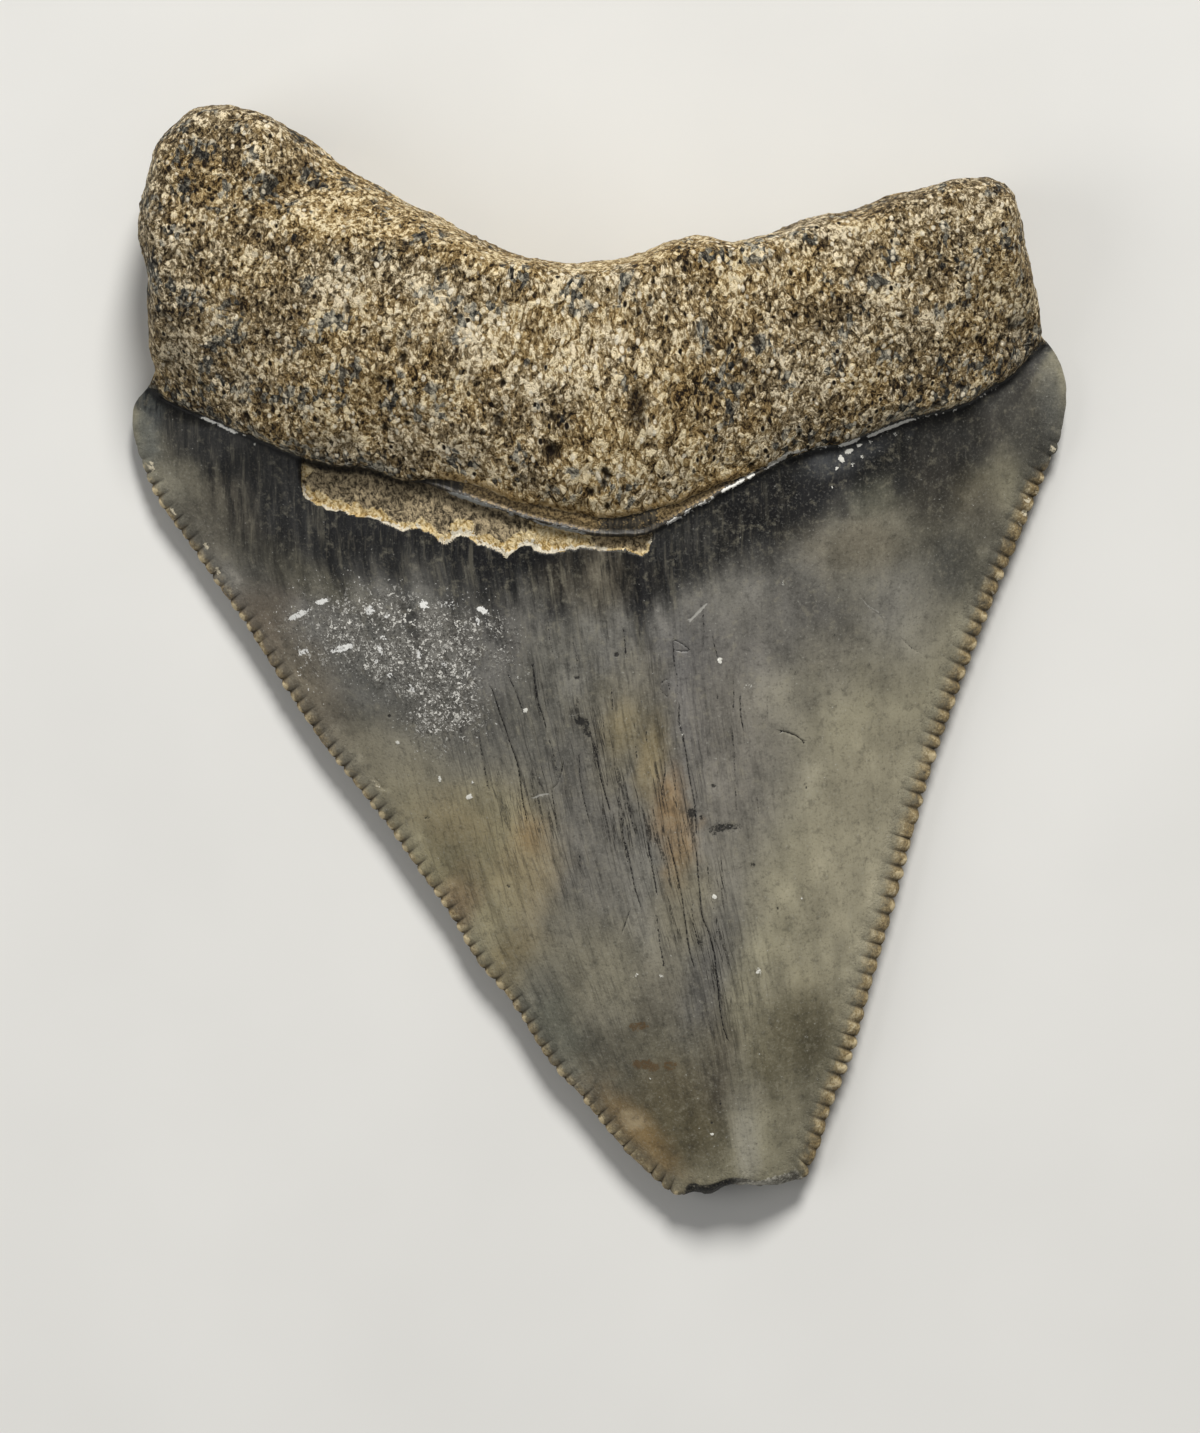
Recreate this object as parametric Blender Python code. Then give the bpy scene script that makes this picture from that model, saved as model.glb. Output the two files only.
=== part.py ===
"""Fossil megalodon tooth, a small broad tooth lying on its flat labial face.

The lingual face (the convex one, with the bulging root and the chevron between
root and crown) looks up, +Z. The tip points to -Y, the root to +Y. The tooth is
one grown body: enameloid cap, bourlette and root are fused, so it is one solid.

Frame: origin at the bottom centre of the bounding box. Units here are
millimetres until the last step, which writes the mesh in metres.
"""

import math

import bmesh
import bpy
import numpy as np
from mathutils import Vector
from mathutils.geometry import delaunay_2d_cdt

# ---------------------------------------------------------------- dimensions
MM = 0.001

# Heights above the face that the tooth lies on, in mm.
CROWN_CREST = [(-27.2, 2.7), (-22.0, 3.7), (-15.0, 5.1), (-8.0, 6.3),
               (0.0, 7.5), (6.0, 8.3), (13.0, 8.7), (22.0, 8.8)]   # y, z of the crown's crest
EDGE_Z_BASE = 1.15          # cutting edge at the crown's base
EDGE_Z_TIP = 1.45           # cutting edge at the tip
EDGE_HALF = 0.12            # half thickness of the cutting edge
LENS_POWER = 2.2            # roundness of the lingual face across the crown
ROOT_THICK = 11.2           # root at its middle
ROOT_SIDE_DROP = 0.30       # share of the thickness lost at the lobes' outer sides
ROOT_TOP_DROP = 0.012       # fall towards the lobe ends, per mm squared
ROOT_SWELL = 4.5            # mm over which the root swells up from the enamel line
ROOT_STEP_MID = 0.35        # step up from enamel to root, middle
ROOT_STEP_SIDE = 0.85       # the same, at the shoulders

# Rest patch on the labial face: a flat ellipse under the centre of mass.
REST_X, REST_Y = 0.5, 7.5
REST_A, REST_B = 12.5, 11.5
LABIAL_RISE = 0.14          # how the labial face curves up outside the patch
REST_CLEAR = 0.04           # least height of the rims above the patch

# Rims.
RIM_ROOT = 1.8              # width of the root's rounded rim, in plan
RIM_TIP = 0.75              # the same at the broken tip
RIM_CROWN = 1.15            # width of the serrated margin
RIM_T = (0.0, 0.12, 0.42, 1.0)   # rings of the rim, from the silhouette inwards

# Serrations: rounded beads along both cutting edges.
BEAD_RIGHT, AMP_RIGHT = 0.77, 0.17
BEAD_LEFT, AMP_LEFT = 0.68, 0.12

# Outline in plan, clockwise from the left shoulder, in mm.
ROOT_LEFT = [(-22.5, 13.5), (-22.4, 14.1), (-22.45, 15.1), (-22.4, 16.9), (-22.5, 18.8),
             (-22.85, 20.7), (-22.8, 22.3), (-22.4, 23.9), (-22.1, 24.9), (-21.5, 25.8),
             (-20.7, 26.7), (-19.9, 27.1)]
ROOT_TOP = [(-18.6, 27.1), (-17.3, 26.8), (-16.3, 26.5), (-15.4, 26.0), (-14.6, 25.5),
            (-12.9, 24.3), (-11.45, 23.5), (-9.85, 22.6), (-8.25, 21.8), (-7.0, 21.2),
            (-5.3, 20.3), (-3.8, 19.75), (-1.9, 19.4), (-0.7, 19.35), (0.5, 19.5),
            (1.7, 19.75), (2.75, 20.2), (3.85, 20.65), (5.2, 20.75), (6.45, 20.5),
            (7.85, 20.75), (8.9, 21.1), (9.7, 21.5), (11.2, 21.85), (12.6, 22.05),
            (14.15, 22.6), (15.4, 22.95), (16.45, 23.2), (17.5, 23.55), (18.6, 23.6),
            (19.75, 23.4), (20.45, 22.8), (20.8, 21.9)]
ROOT_RIGHT = [(21.0, 20.5), (21.35, 19.3), (21.75, 17.9), (21.9, 16.5), (22.05, 15.9)]
EDGE_RIGHT = [(22.6, 15.3), (23.1, 14.4), (23.35, 13.3), (23.35, 12.5), (23.25, 11.8),
              (22.95, 10.5), (22.4, 9.5), (21.85, 8.1), (20.75, 5.4), (19.4, 2.1),
              (18.15, -1.1), (16.85, -4.8), (15.8, -8.3), (15.3, -10.1), (14.65, -12.7),
              (14.0, -14.9), (13.2, -17.8), (12.55, -20.0), (12.1, -21.2), (11.5, -22.8),
              (10.95, -24.6), (10.4, -25.8), (10.15, -26.3)]
TIP = [(8.9, -26.5), (7.9, -26.7), (7.1, -26.55), (6.3, -26.6), (5.3, -26.95),
       (4.6, -26.9), (4.15, -27.1)]
EDGE_LEFT = [(3.4, -26.85), (2.55, -26.1), (1.5, -25.1), (0.4, -23.8), (-0.75, -22.4),
             (-2.4, -20.6), (-3.8, -18.4), (-4.9, -16.8), (-6.2, -15.3), (-7.6, -12.85),
             (-9.05, -10.9), (-10.65, -8.6), (-12.25, -6.5), (-14.0, -4.3), (-15.6, -1.9),
             (-17.2, 0.65), (-18.95, 3.2), (-20.4, 5.3), (-22.0, 7.5), (-22.65, 8.8),
             (-23.2, 10.3), (-23.4, 11.5), (-23.25, 12.6)]

# Enamel line on the lingual face, left shoulder to right shoulder, in mm.
ENAMEL_LINE = [(-23.4, 13.6), (-22.5, 13.3), (-21.5, 12.6), (-19.6, 11.8), (-17.85, 11.0),
               (-16.4, 10.4), (-14.8, 9.7), (-13.35, 9.3), (-11.45, 9.1), (-9.7, 8.5),
               (-8.5, 8.3), (-6.05, 7.4), (-3.5, 6.55), (-0.95, 5.9), (0.55, 5.75),
               (2.0, 5.8), (2.7, 6.05), (4.85, 7.2), (7.3, 8.5), (9.8, 9.8), (12.6, 10.6),
               (15.05, 11.6), (17.85, 12.3), (19.25, 13.1), (20.65, 14.0), (21.9, 15.3),
               (23.4, 16.6)]


# ------------------------------------------------------------------- helpers
def smooth(a, b, x):
    t = np.clip((np.asarray(x, float) - a) / (b - a), 0.0, 1.0)
    return t * t * (3.0 - 2.0 * t)


def spline(points, step):
    """Catmull-Rom curve through points, resampled at about step mm."""
    p = np.array(points, float)
    p = np.vstack([2 * p[0] - p[1], p, 2 * p[-1] - p[-2]])
    out = []
    for i in range(1, len(p) - 2):
        a, b, c, d = p[i - 1], p[i], p[i + 1], p[i + 2]
        n = max(2, int(round(np.linalg.norm(c - b) / step * 4)))
        t = np.linspace(0, 1, n, endpoint=False)[:, None]
        out.append(0.5 * (2 * b + (c - a) * t + (2 * a - 5 * b + 4 * c - d) * t ** 2
                          + (3 * b - a - 3 * c + d) * t ** 3))
    out.append(p[-2][None, :])
    return resample(np.vstack(out), step)


def lengths(line):
    return np.concatenate([[0.0], np.cumsum(np.linalg.norm(np.diff(line, axis=0), axis=1))])


def resample(line, step):
    s = lengths(line)
    n = max(2, int(round(s[-1] / step)) + 1)
    t = np.linspace(0, s[-1], n)
    return np.stack([np.interp(t, s, line[:, 0]), np.interp(t, s, line[:, 1])], axis=1)


def distance_to(line, xy, chunk=4000):
    """Shortest distance of every point of xy to a polyline."""
    a, b = line[:-1], line[1:]
    ab = b - a
    len2 = np.maximum((ab ** 2).sum(1), 1e-12)
    out = np.empty(len(xy))
    for k in range(0, len(xy), chunk):
        q = xy[k:k + chunk, None, :]
        t = np.clip(((q - a) * ab).sum(2) / len2, 0, 1)
        out[k:k + chunk] = np.sqrt((((a + t[..., None] * ab) - q) ** 2).sum(2).min(1))
    return out


LEFT_LINE = spline([(-22.5, 13.5)] + EDGE_LEFT[::-1], 0.6)
RIGHT_LINE = spline([(22.05, 15.9)] + EDGE_RIGHT, 0.6)
ROOT_LINE = spline(ENAMEL_LINE, 0.5)


# ------------------------------------------------------------ shape of a face
def edge_height(y):
    return np.interp(y, [-27.0, 12.0], [EDGE_Z_TIP, EDGE_Z_BASE])


def across(xy):
    """-1 on the left cutting edge, 0 on the crest, +1 on the right cutting edge."""
    left = distance_to(LEFT_LINE, xy)
    right = distance_to(RIGHT_LINE, xy)
    return (left - right) / np.maximum(left + right, 1e-6)


def crown_top(xy):
    crest = np.interp(xy[:, 1], [c[0] for c in CROWN_CREST], [c[1] for c in CROWN_CREST])
    low = edge_height(xy[:, 1])
    q = np.abs(across(xy))
    return low + (crest - low) * (1.0 - q ** LENS_POWER)


def above_line(xy):
    """Signed distance to the enamel line, positive on the root's side."""
    side = np.sign(xy[:, 1] - np.interp(xy[:, 0], ROOT_LINE[:, 0], ROOT_LINE[:, 1]))
    return side * distance_to(ROOT_LINE, xy)


def root_top(xy):
    x, y = xy[:, 0], xy[:, 1]
    side = np.clip(np.abs(x) / 23.0, 0, 1.2)
    z = ROOT_THICK * (1.0 - ROOT_SIDE_DROP * side ** 2.2)
    return z - ROOT_TOP_DROP * np.clip(y - 11.0, 0, None) ** 2


def lingual(xy):
    """Height of the upper (lingual) face."""
    crown = crown_top(xy)
    h = above_line(xy)
    step = ROOT_STEP_MID + (ROOT_STEP_SIDE - ROOT_STEP_MID) * smooth(8, 20, np.abs(xy[:, 0]))
    lift = step * smooth(-0.05, 0.35, h)
    swell = (root_top(xy) - crown - step) * (1.0 - np.exp(-np.clip(h, 0, None) / ROOT_SWELL))
    return crown + lift + np.where(h > 0, swell, 0.0)


def labial(xy):
    """Height of the lower (labial) face: a flat patch, curving up around it."""
    x, y = xy[:, 0], xy[:, 1]
    rho = np.sqrt(((x - REST_X) / REST_A) ** 2 + ((y - REST_Y) / REST_B) ** 2)
    z = LABIAL_RISE * np.clip(rho - 1.0, 0, None) ** 2
    crown = 1.0 - smooth(9.0, 13.5, y)
    turn = np.clip((np.abs(across(xy)) - 0.62) / 0.38, 0, 1) ** 2
    return z + crown * turn * np.clip(edge_height(y) - z, 0, None) * 0.9


# ----------------------------------------------------------------- silhouette
def bead(phase):
    """Outline of one serration: a round bead with a narrow gap, 0 to 1."""
    return np.abs(np.sin(np.pi * phase)) ** 0.7


def section(points, step, crown, tip=0.0, spacing=0.0, amp=0.0, lead=0.0, fade=0.0):
    """One stretch of the silhouette with what the rim does along it."""
    if spacing:
        full = spline(points, 0.1)
        s = lengths(full)
        count = int((s[-1] - lead) / spacing)
        stations, phases = [], []
        n_lead = max(2, int(lead / 0.9))
        for i in range(n_lead):
            stations.append(lead * i / n_lead)
            phases.append(0.0)
        pitch = (s[-1] - lead) / count
        for k in range(count):
            for f in (0.0, 0.3, 0.7):
                stations.append(lead + (k + f) * pitch)
                phases.append(f)
        stations, phases = np.array(stations), np.array(phases)
        xy = np.stack([np.interp(stations, s, full[:, 0]), np.interp(stations, s, full[:, 1])], 1)
        grow = np.clip((stations - lead) / fade, 0.0, 1.0)
        out = amp * grow * (bead(phases) - 0.5)
        major = (phases == 0.0)
    else:
        xy = spline(points, step)[:-1]
        out = np.zeros(len(xy))
        major = np.ones(len(xy), bool)
    n = len(xy)
    return dict(xy=xy, out=out, major=major, crown=np.full(n, crown), tip=np.full(n, tip))


def build_silhouette():
    right = [(22.05, 15.9)] + EDGE_RIGHT
    left = [TIP[-1]] + EDGE_LEFT + [(-22.5, 13.5)]
    parts = [
        section(ROOT_LEFT + [ROOT_TOP[0]], 1.1, 0.0),
        section(ROOT_TOP + [ROOT_RIGHT[0]], 1.0, 0.0),
        section(ROOT_RIGHT, 1.1, 0.0),
        section(right, 0, 1.0, spacing=BEAD_RIGHT, amp=AMP_RIGHT, lead=4.5, fade=4.0),
        section([EDGE_RIGHT[-1]] + TIP, 0.8, 0.0, tip=1.0),
    ]
    # The left edge is laid out from the shoulder down, then turned round.
    low = section(left[::-1], 0, 1.0, spacing=BEAD_LEFT, amp=AMP_LEFT, lead=3.5, fade=4.0)
    for key in low:
        low[key] = low[key][::-1]
    low["xy"] = np.vstack([left[0], low["xy"][:-1]])
    for key in ("out", "major", "crown", "tip"):
        low[key] = np.concatenate([low[key][:1], low[key][:-1]])
    low["out"][0], low["major"][0] = 0.0, True
    parts.append(low)
    ring = {key: np.concatenate([p[key] for p in parts]) for key in parts[0]}

    xy = ring["xy"]
    closed = np.vstack([xy, xy[:1]])
    s = lengths(closed)[:-1]
    total = lengths(closed)[-1]

    def blur(values, width):
        """Average along the closed outline, weighted by length."""
        gap = np.abs(s[:, None] - s[None, :])
        gap = np.minimum(gap, total - gap)
        seg = np.roll(np.diff(np.append(s, total)), 0)
        seg = 0.5 * (seg + np.roll(seg, 1))
        w = np.exp(-0.5 * (gap / width) ** 2) * seg[None, :]
        w /= w.sum(1, keepdims=True)
        return w @ values

    tangent = np.roll(xy, -1, 0) - np.roll(xy, 1, 0)
    tangent /= np.linalg.norm(tangent, axis=1)[:, None]
    outward = np.stack([-tangent[:, 1], tangent[:, 0]], 1)
    near = blur(outward, 0.35)
    near /= np.linalg.norm(near, axis=1)[:, None]
    wide = blur(outward, 1.6)
    wide /= np.linalg.norm(wide, axis=1)[:, None]
    crown = blur(ring["crown"], 0.9)
    tip = blur(ring["tip"], 0.7)
    ring.update(s=s, near=near, wide=wide, crown_mix=crown, tip_mix=tip)
    return ring


def rim_rings(ring):
    """Rings of the rim, each with the height of its upper and lower copy."""
    xy, c, tip = ring["xy"], ring["crown_mix"], ring["tip_mix"]
    root_mid = np.interp(xy[:, 1], [13.0, 17.0, 22.0], [1.5, 2.9, 3.3])
    mid = c * edge_height(xy[:, 1]) + (1 - c) * ((1 - tip) * root_mid + tip * 1.45)
    width = c * RIM_CROWN + (1 - c) * ((1 - tip) * RIM_ROOT + tip * RIM_TIP)
    rings = []
    for t in RIM_T:
        place = xy - ring["wide"] * (width * t)[:, None]
        place = place + ring["near"] * (ring["out"] * (1 - t) ** 1.5)[:, None]
        up, down = lingual(place), labial(place)
        arc = (1 - (1 - t) ** 2.5) ** (1 / 2.5)
        half = EDGE_HALF * min(1.0, t / 0.1)
        top = c * (np.maximum(up, mid) + half) + (1 - c) * (mid + (up - mid) * arc)
        low = c * (np.minimum(down, mid) - half) + (1 - c) * (mid - (mid - down) * arc)
        low = np.maximum(low, REST_CLEAR)
        if t == 0.0:
            top = low = mid
        rings.append((place, top, low))
    return rings


# ----------------------------------------------------------------- the solid
def lattice(step, outline, margin):
    """Hexagonal grid of points inside an outline, clear of it by margin."""
    lo, hi = outline.min(0), outline.max(0)
    rows = []
    for j, y in enumerate(np.arange(lo[1], hi[1], step * math.sqrt(3) / 2)):
        x = np.arange(lo[0] + (step / 2 if j % 2 else 0), hi[0], step)
        rows.append(np.stack([x, np.full(len(x), y)], 1))
    pts = np.vstack(rows)
    closed = np.vstack([outline, outline[:1]])
    pts = pts[inside(outline, pts)]
    return pts[distance_to(closed, pts) > margin]


def inside(poly, pts):
    x, y = pts[:, 0], pts[:, 1]
    hit = np.zeros(len(pts), bool)
    j = len(poly) - 1
    for i in range(len(poly)):
        (xi, yi), (xj, yj) = poly[i], poly[j]
        cross = (yi > y) != (yj > y)
        with np.errstate(divide="ignore", invalid="ignore"):
            hit ^= cross & (x < (xj - xi) * (y - yi) / (yj - yi) + xi)
        j = i
    return hit


def fill(outline, extra):
    """Triangles of a Delaunay mesh inside an outline, through the extra points."""
    co = [Vector(p) for p in np.vstack([outline, extra])] if len(extra) else [Vector(p) for p in outline]
    n = len(outline)
    face = list(range(n))[::-1]            # the outline runs clockwise
    verts, _, faces, orig, _, owner = delaunay_2d_cdt(co, [], [face], 1, 1e-6, True)
    assert len(verts) == len(co), (len(verts), len(co))
    back = [o[0] for o in orig]
    return [[back[i] for i in f] for f, own in zip(faces, owner) if own]


def stitch(a, sa, b, sb, total):
    """Triangles between two closed rings with unequal counts, walked by length."""
    tris, i, j = [], 0, 0
    na, nb = len(a), len(b)
    while i < na or j < nb:
        next_a = sa[i + 1] if i + 1 < na else total + sa[0] if i < na else math.inf
        next_b = sb[j + 1] if j + 1 < nb else total + sb[0] if j < nb else math.inf
        if j >= nb or (i < na and next_a <= next_b):
            tris.append((a[i % na], a[(i + 1) % na], b[j % nb]))
            i += 1
        else:
            tris.append((a[i % na], b[(j + 1) % nb], b[j % nb]))
            j += 1
    return tris


def build_tooth():
    ring = build_silhouette()
    rings = rim_rings(ring)
    n = len(ring["xy"])
    total = lengths(np.vstack([ring["xy"], ring["xy"][:1]]))[-1]
    major = np.where(ring["major"])[0]
    s = ring["s"]

    verts, faces = [], []

    def add(xy, z):
        first = len(verts)
        verts.extend((float(p[0]), float(p[1]), float(h)) for p, h in zip(xy, z))
        return list(range(first, first + len(xy)))

    edge = add(rings[0][0], rings[0][1])
    for upper in (True, False):
        previous, prev_s = edge, s
        sheet = []
        for k, (place, top, low) in enumerate(rings[1:], 1):
            pick = np.arange(n) if k == 1 else major
            z = (top if upper else low)[pick]
            this = add(place[pick], z)
            sheet += stitch(previous, prev_s, this, s[pick], total)
            previous, prev_s = this, s[pick]
        inner = rings[-1][0][major]
        height = lingual if upper else labial
        if upper:
            grid = lattice(2.1, inner, 0.9)
            line = spline(ENAMEL_LINE, 0.85)
            turn = np.gradient(line, axis=0)
            turn /= np.linalg.norm(turn, axis=1)[:, None]
            normal = np.stack([-turn[:, 1], turn[:, 0]], 1)
            rows = np.vstack([line - normal * 0.08, line + normal * 0.36, (line + normal * 1.3)[::2]])
            rows = rows[inside(inner, rows)]
            closed = np.vstack([inner, inner[:1]])
            rows = rows[distance_to(closed, rows) > 0.3]
            h = above_line(grid)
            grid = grid[(h < -0.9) | (h > 2.3)]
            extra = np.vstack([grid, rows])
        else:
            turns = np.linspace(0, 2 * math.pi, 28, endpoint=False)
            patch = np.stack([REST_X + REST_A * np.cos(turns), REST_Y + REST_B * np.sin(turns)], 1)
            grid = lattice(2.9, inner, 1.1)
            rho = np.hypot((grid[:, 0] - REST_X) / REST_A, (grid[:, 1] - REST_Y) / REST_B)
            extra = np.vstack([grid[rho > 1.16], patch])
        z = height(extra)
        ids = list(previous) + add(extra, z)
        for f in fill(inner, extra):
            sheet.append(tuple(ids[i] for i in f))
        # Every face of a sheet is wound the same way in plan: up for the upper one.
        for f in sheet:
            (x0, y0, _), (x1, y1, _), (x2, y2, _) = (verts[i] for i in f[:3])
            turn = (x1 - x0) * (y2 - y0) - (x2 - x0) * (y1 - y0)
            faces.append(f if (turn > 0) == upper else f[::-1])
    return verts, faces


def material(name, colour, roughness):
    mat = bpy.data.materials.new(name)
    mat.use_nodes = True
    shader = mat.node_tree.nodes["Principled BSDF"]
    shader.inputs["Base Color"].default_value = (*colour, 1.0)
    shader.inputs["Roughness"].default_value = roughness
    shader.inputs["Metallic"].default_value = 0.0
    mat.diffuse_color = (*colour, 1.0)
    return mat


def main():
    for obj in list(bpy.data.objects):
        bpy.data.objects.remove(obj, do_unlink=True)

    verts, faces = build_tooth()
    co = np.array(verts)
    shift = np.array([(co[:, 0].max() + co[:, 0].min()) / 2, (co[:, 1].max() + co[:, 1].min()) / 2, 0.0])
    co = co - shift

    mesh = bpy.data.meshes.new("tooth")
    mesh.from_pydata((co * MM).tolist(), [], faces)
    mesh.validate()
    bm = bmesh.new()
    bm.from_mesh(mesh)
    bmesh.ops.recalc_face_normals(bm, faces=bm.faces)
    bm.to_mesh(mesh)
    bm.free()

    mesh.materials.append(material("tooth_enamel", (0.085, 0.085, 0.078), 0.33))
    mesh.materials.append(material("tooth_root", (0.19, 0.145, 0.085), 0.88))
    centres = np.array([list(p.center) for p in mesh.polygons]) / MM + shift
    normals = np.array([list(p.normal) for p in mesh.polygons])
    is_root = above_line(centres[:, :2]) > 0.1
    is_root &= (normals[:, 2] > 0) | (centres[:, 1] > 11.5)
    for poly, root in zip(mesh.polygons, is_root):
        poly.material_index = 1 if root else 0

    mesh.shade_smooth()
    mesh.set_sharp_from_angle(angle=math.radians(48))

    tooth = bpy.data.objects.new("tooth", mesh)
    bpy.context.scene.collection.objects.link(tooth)
    tooth.location = (0.0, 0.0, 0.0)


main()
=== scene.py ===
"""The looks of the fossil megalodon tooth: one fine mesh in place of the CAD solid.

Lengths in the shape code are millimetres. Marks are placed with at(px, py), a point
of the 1200 x 1433 reference frame, where 20 px are 1 mm.
"""
import math

import bpy
import numpy as np
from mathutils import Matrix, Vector
from mathutils.geometry import delaunay_2d_cdt
from mathutils.kdtree import KDTree


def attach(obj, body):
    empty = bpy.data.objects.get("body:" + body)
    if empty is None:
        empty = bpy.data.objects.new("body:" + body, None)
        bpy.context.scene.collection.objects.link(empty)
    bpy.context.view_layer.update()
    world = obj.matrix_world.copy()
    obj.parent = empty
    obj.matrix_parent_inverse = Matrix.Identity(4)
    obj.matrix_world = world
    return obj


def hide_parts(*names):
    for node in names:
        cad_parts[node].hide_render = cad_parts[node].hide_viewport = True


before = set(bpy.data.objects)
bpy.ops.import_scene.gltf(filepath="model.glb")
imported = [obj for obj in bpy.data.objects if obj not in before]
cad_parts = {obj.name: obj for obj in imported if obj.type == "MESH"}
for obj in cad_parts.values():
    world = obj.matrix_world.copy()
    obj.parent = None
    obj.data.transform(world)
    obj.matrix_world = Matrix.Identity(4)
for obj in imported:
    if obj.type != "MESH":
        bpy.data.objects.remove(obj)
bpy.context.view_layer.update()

MM = 0.001
SHIFT = (0.018, -0.013)     # the CAD solid is centred on its own box


def at(px, py):
    return ((px - 600.0) / 20.0, (653.5 - py) / 20.0)


def path(*pixels):
    return np.array([at(*p) for p in pixels])


# =============================================================== dimensions
CROWN_CREST = [(-27.2, 2.7), (-22.0, 3.7), (-15.0, 5.1), (-8.0, 6.3),
               (0.0, 7.5), (6.0, 8.3), (13.0, 8.7), (22.0, 8.8)]
EDGE_Z_BASE, EDGE_Z_TIP, EDGE_HALF = 1.15, 1.45, 0.12
LENS_POWER = 2.2
ROOT_THICK, ROOT_SIDE_DROP, ROOT_TOP_DROP, ROOT_SWELL = 11.2, 0.30, 0.012, 4.5
ROOT_STEP_MID, ROOT_STEP_SIDE = 0.35, 0.85
REST_X, REST_Y, REST_A, REST_B = 0.5, 7.5, 12.5, 11.5
LABIAL_RISE = 0.14
RIM_ROOT, RIM_TIP, RIM_CROWN, RIM_LEFT = 1.35, 0.55, 1.30, 0.85
BEAD_RIGHT, AMP_RIGHT = 0.77, 0.17
BEAD_LEFT, AMP_LEFT = 0.68, 0.12

# Mesh density, in mm between points.
FINE_ROOT, FINE_CROWN, FINE_LINE = 0.134, 0.33, 0.13
LABIAL_ROOT, LABIAL_CROWN = 0.25, 0.55
RIM_STEP_ROOT = 0.19

ROOT_LEFT = [(-22.5, 13.5), (-22.4, 14.1), (-22.45, 15.1), (-22.4, 16.9), (-22.5, 18.8),
             (-22.85, 20.7), (-22.8, 22.3), (-22.4, 23.9), (-22.1, 24.9), (-21.5, 25.8),
             (-20.7, 26.7), (-19.9, 27.1)]
ROOT_TOP = [(-18.6, 27.1), (-17.3, 26.8), (-16.3, 26.5), (-15.4, 26.0), (-14.6, 25.5),
            (-12.9, 24.3), (-11.45, 23.5), (-9.85, 22.6), (-8.25, 21.8), (-7.0, 21.2),
            (-5.3, 20.3), (-3.8, 19.75), (-1.9, 19.4), (-0.7, 19.35), (0.5, 19.5),
            (1.7, 19.75), (2.75, 20.2), (3.85, 20.65), (5.2, 20.75), (6.45, 20.5),
            (7.85, 20.75), (8.9, 21.1), (9.7, 21.5), (11.2, 21.85), (12.6, 22.05),
            (14.15, 22.6), (15.4, 22.95), (16.45, 23.2), (17.5, 23.55), (18.6, 23.6),
            (19.75, 23.4), (20.45, 22.8), (20.8, 21.9)]
ROOT_RIGHT = [(21.0, 20.5), (21.35, 19.3), (21.75, 17.9), (21.9, 16.5), (22.05, 15.9)]
EDGE_RIGHT = [(22.6, 15.3), (23.1, 14.4), (23.35, 13.3), (23.35, 12.5), (23.25, 11.8),
              (22.95, 10.5), (22.4, 9.5), (21.85, 8.1), (20.75, 5.4), (19.4, 2.1),
              (18.15, -1.1), (16.85, -4.8), (15.8, -8.3), (15.3, -10.1), (14.65, -12.7),
              (14.0, -14.9), (13.2, -17.8), (12.55, -20.0), (12.1, -21.2), (11.5, -22.8),
              (10.95, -24.6), (10.4, -25.8), (10.15, -26.3)]
TIP = [(8.9, -26.5), (7.9, -26.7), (7.1, -26.55), (6.3, -26.6), (5.3, -26.95),
       (4.6, -26.9), (4.15, -27.1)]
EDGE_LEFT = [(3.4, -26.85), (2.55, -26.1), (1.5, -25.1), (0.4, -23.8), (-0.75, -22.4),
             (-2.4, -20.6), (-3.8, -18.4), (-4.9, -16.8), (-6.2, -15.3), (-7.6, -12.85),
             (-9.05, -10.9), (-10.65, -8.6), (-12.25, -6.5), (-14.0, -4.3), (-15.6, -1.9),
             (-17.2, 0.65), (-18.95, 3.2), (-20.4, 5.3), (-22.0, 7.5), (-22.65, 8.8),
             (-23.2, 10.3), (-23.4, 11.5), (-23.25, 12.6)]
ENAMEL_LINE = [(-23.4, 13.6), (-22.5, 13.3), (-21.5, 12.6), (-19.6, 11.8), (-17.85, 11.0),
               (-16.4, 10.4), (-14.8, 9.7), (-13.35, 9.3), (-11.45, 9.1), (-9.7, 8.5),
               (-8.5, 8.3), (-6.05, 7.4), (-3.5, 6.55), (-0.95, 5.9), (0.55, 5.75),
               (2.0, 5.8), (2.7, 6.05), (4.85, 7.2), (7.3, 8.5), (9.8, 9.8), (12.6, 10.6),
               (15.05, 11.6), (17.85, 12.3), (19.25, 13.1), (20.65, 14.0), (21.9, 15.3),
               (23.4, 16.6)]
# Where the granular root ends: above the enamel line in the middle, because the
# bourlette, a narrow smooth band, lies between the two.
ROOT_END = ENAMEL_LINE[:10] + [at(433, 483), at(452, 484), at(482, 490), at(502, 499), at(521, 506),
                               at(562, 514), at(599, 520), at(624, 519), at(652, 512), at(672, 508),
                               at(690, 500), at(715, 488), at(735, 482)] + ENAMEL_LINE[19:]
# Lower edge of the strip where the enamel has broken off.
BREAK = [(299, 470), (302, 482), (304, 492), (309, 499), (317, 505), (330, 512), (345, 514), (357, 517),
         (372, 519), (384, 525), (395, 530), (404, 534), (411, 531), (418, 530), (430, 536),
         (440, 543), (448, 548), (454, 543), (462, 539), (470, 541), (478, 546), (490, 550),
         (500, 554), (506, 561), (512, 557), (521, 550), (527, 547), (534, 550), (540, 555),
         (553, 556), (568, 554), (580, 552), (600, 553), (620, 553), (632, 557), (641, 560),
         (648, 554), (652, 546), (655, 536)]
# Ridge between the root's broad face and the narrow basal strip above it.
RIDGE = [(255, 204), (279, 219), (310, 229), (342, 238), (387, 251), (420, 254), (451, 259), (499, 271), (546, 278),
         (600, 284), (640, 279), (690, 263), (738, 246)]
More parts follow.
